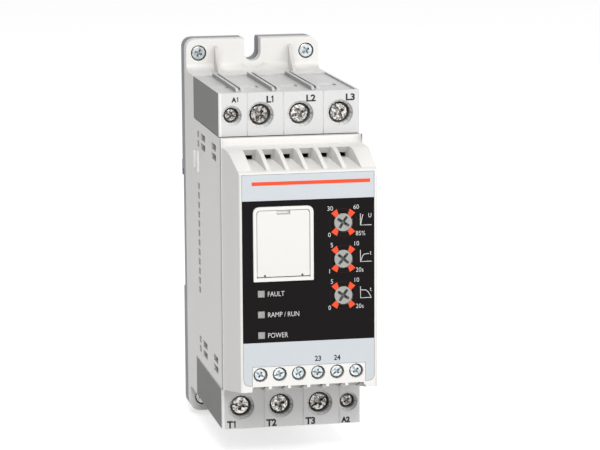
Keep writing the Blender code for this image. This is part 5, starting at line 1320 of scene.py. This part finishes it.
class STARTER_OT_stage(bpy.types.Operator):
    """Make the floor, the lamps, the background and the camera"""
    bl_idname = "starter.stage"
    bl_label = "Stage"
    KEY_WIDTH = 0.6
    KEY_PLACE = (-0.15, -1.25, 0.85)
    RIGHT_WIDTH = 0.8
    RIGHT_PLACE = (0.95, -0.75, 0.5)
    FLOOR_WIDTH = 12.0
    FRAME_WIDTH = 36.0

    def execute(self, context):
        values = settings().stage
        low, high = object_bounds()
        self.floor(values, low.z)
        self.background(values)
        middle = (low + high) / 2
        self.lamp("key_lamp", values.key, self.KEY_WIDTH, Vector(self.KEY_PLACE), middle)
        self.lamp("right_lamp", values.fill, self.RIGHT_WIDTH, Vector(self.RIGHT_PLACE), middle)
        self.camera(values)
        context.scene.view_settings.view_transform = "Standard"
        return {"FINISHED"}

    def floor(self, values, height):
        """A wide floor whose shade stays while the camera sees the rest of it white."""
        deselect()
        bpy.ops.mesh.primitive_plane_add(size=self.FLOOR_WIDTH, location=(0.0, 0.0, height))
        floor = bpy.context.object
        floor.name = "studio_floor"
        settle(floor)
        material, tree, shader = new_finish("studio floor")
        shader.inputs["Roughness"].default_value = 0.9
        shader.inputs["Specular IOR Level"].default_value = 0.0
        shader.inputs["Emission Color"].default_value = (1.0, 1.0, 1.0, 1.0)
        tree.links.new(uneven(tree, noise_at(tree, 60.0), values.floor, 0.005), shader.inputs["Base Color"])
        tree.links.new(calculate(tree, "MULTIPLY", seen(tree), values.floor_lift),
                       shader.inputs["Emission Strength"])
        floor.data.materials.append(material)
        floor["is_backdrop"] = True

    def background(self, values):
        """White where it is seen, plain even light elsewhere."""
        world = bpy.data.worlds.new("studio")
        bpy.context.scene.world = world
        world.use_nodes = True
        tree = world.node_tree
        tree.nodes.clear()
        out = tree.nodes.new("ShaderNodeOutputWorld")
        mix = tree.nodes.new("ShaderNodeMixShader")
        tree.links.new(seen(tree), mix.inputs[0])
        for index, strength in ((1, values.sky), (2, 1.0)):
            light = tree.nodes.new("ShaderNodeBackground")
            light.inputs["Color"].default_value = (1.0, 1.0, 1.0, 1.0)
            light.inputs["Strength"].default_value = strength
            tree.links.new(light.outputs[0], mix.inputs[index])
        tree.links.new(mix.outputs[0], out.inputs["Surface"])

    def lamp(self, name, power, width, place, target):
        data = bpy.data.lights.new(name, "AREA")
        data.shape = "SQUARE"
        data.size = width
        data.energy = power
        lamp = link(name, data)
        lamp.location = place
        lamp.rotation_euler = (target - place).to_track_quat("-Z", "Y").to_euler()

    def camera(self, values):
        data = bpy.data.cameras.new("camera")
        data.sensor_width = self.FRAME_WIDTH
        data.lens = values.lens
        data.clip_start = 0.05
        data.clip_end = 50.0
        camera = link("camera", data)
        forward = Vector((math.sin(values.yaw) * math.cos(values.pitch),
                          math.cos(values.yaw) * math.cos(values.pitch), -math.sin(values.pitch)))
        right = Vector((math.cos(values.yaw), -math.sin(values.yaw), 0.0))
        up = right.cross(forward)
        across = right * math.cos(values.roll) + up * math.sin(values.roll)
        upright = up * math.cos(values.roll) - right * math.sin(values.roll)
        turn = Matrix((across, upright, -forward)).transposed()
        camera.matrix_world = Matrix.Translation(Vector(values.place)) @ turn.to_4x4()
        bpy.context.scene.camera = camera


OPERATORS = (STARTER_OT_housing, STARTER_OT_cover, STARTER_OT_blocks, STARTER_OT_film, STARTER_OT_print,
             STARTER_OT_door, STARTER_OT_shafts, STARTER_OT_lights, STARTER_OT_power_screws,
             STARTER_OT_control_screws, STARTER_OT_base_screws, STARTER_OT_cages, STARTER_OT_latch,
             STARTER_OT_inside, STARTER_OT_stage)


class STARTER_PT_panel(bpy.types.Panel):
    """The soft starter's settings and its pieces"""
    bl_label = "Soft Starter"
    bl_idname = "STARTER_PT_panel"
    bl_space_type = "VIEW_3D"
    bl_region_type = "UI"
    bl_category = "Soft Starter"

    def draw(self, context):
        values = context.scene.soft_starter
        for group in (values.moulding, values.film, values.metal, values.stage):
            box = self.layout.box()
            for name in group.__annotations__:
                box.prop(group, name)
        for operator in OPERATORS:
            self.layout.operator(operator.bl_idname)


CLASSES = (MouldingSettings, FilmSettings, MetalSettings, StageSettings, StarterSettings, *OPERATORS,
           STARTER_PT_panel)


def register():
    for item in CLASSES:
        bpy.utils.register_class(item)
    bpy.types.Scene.soft_starter = PointerProperty(type=StarterSettings)


def unregister():
    del bpy.types.Scene.soft_starter
    for item in reversed(CLASSES):
        bpy.utils.unregister_class(item)


def main():
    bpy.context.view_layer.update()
    register()
    for operator in OPERATORS:
        group, name = operator.bl_idname.split(".")
        getattr(getattr(bpy.ops, group), name)()


if __name__ == "__main__":
    main()
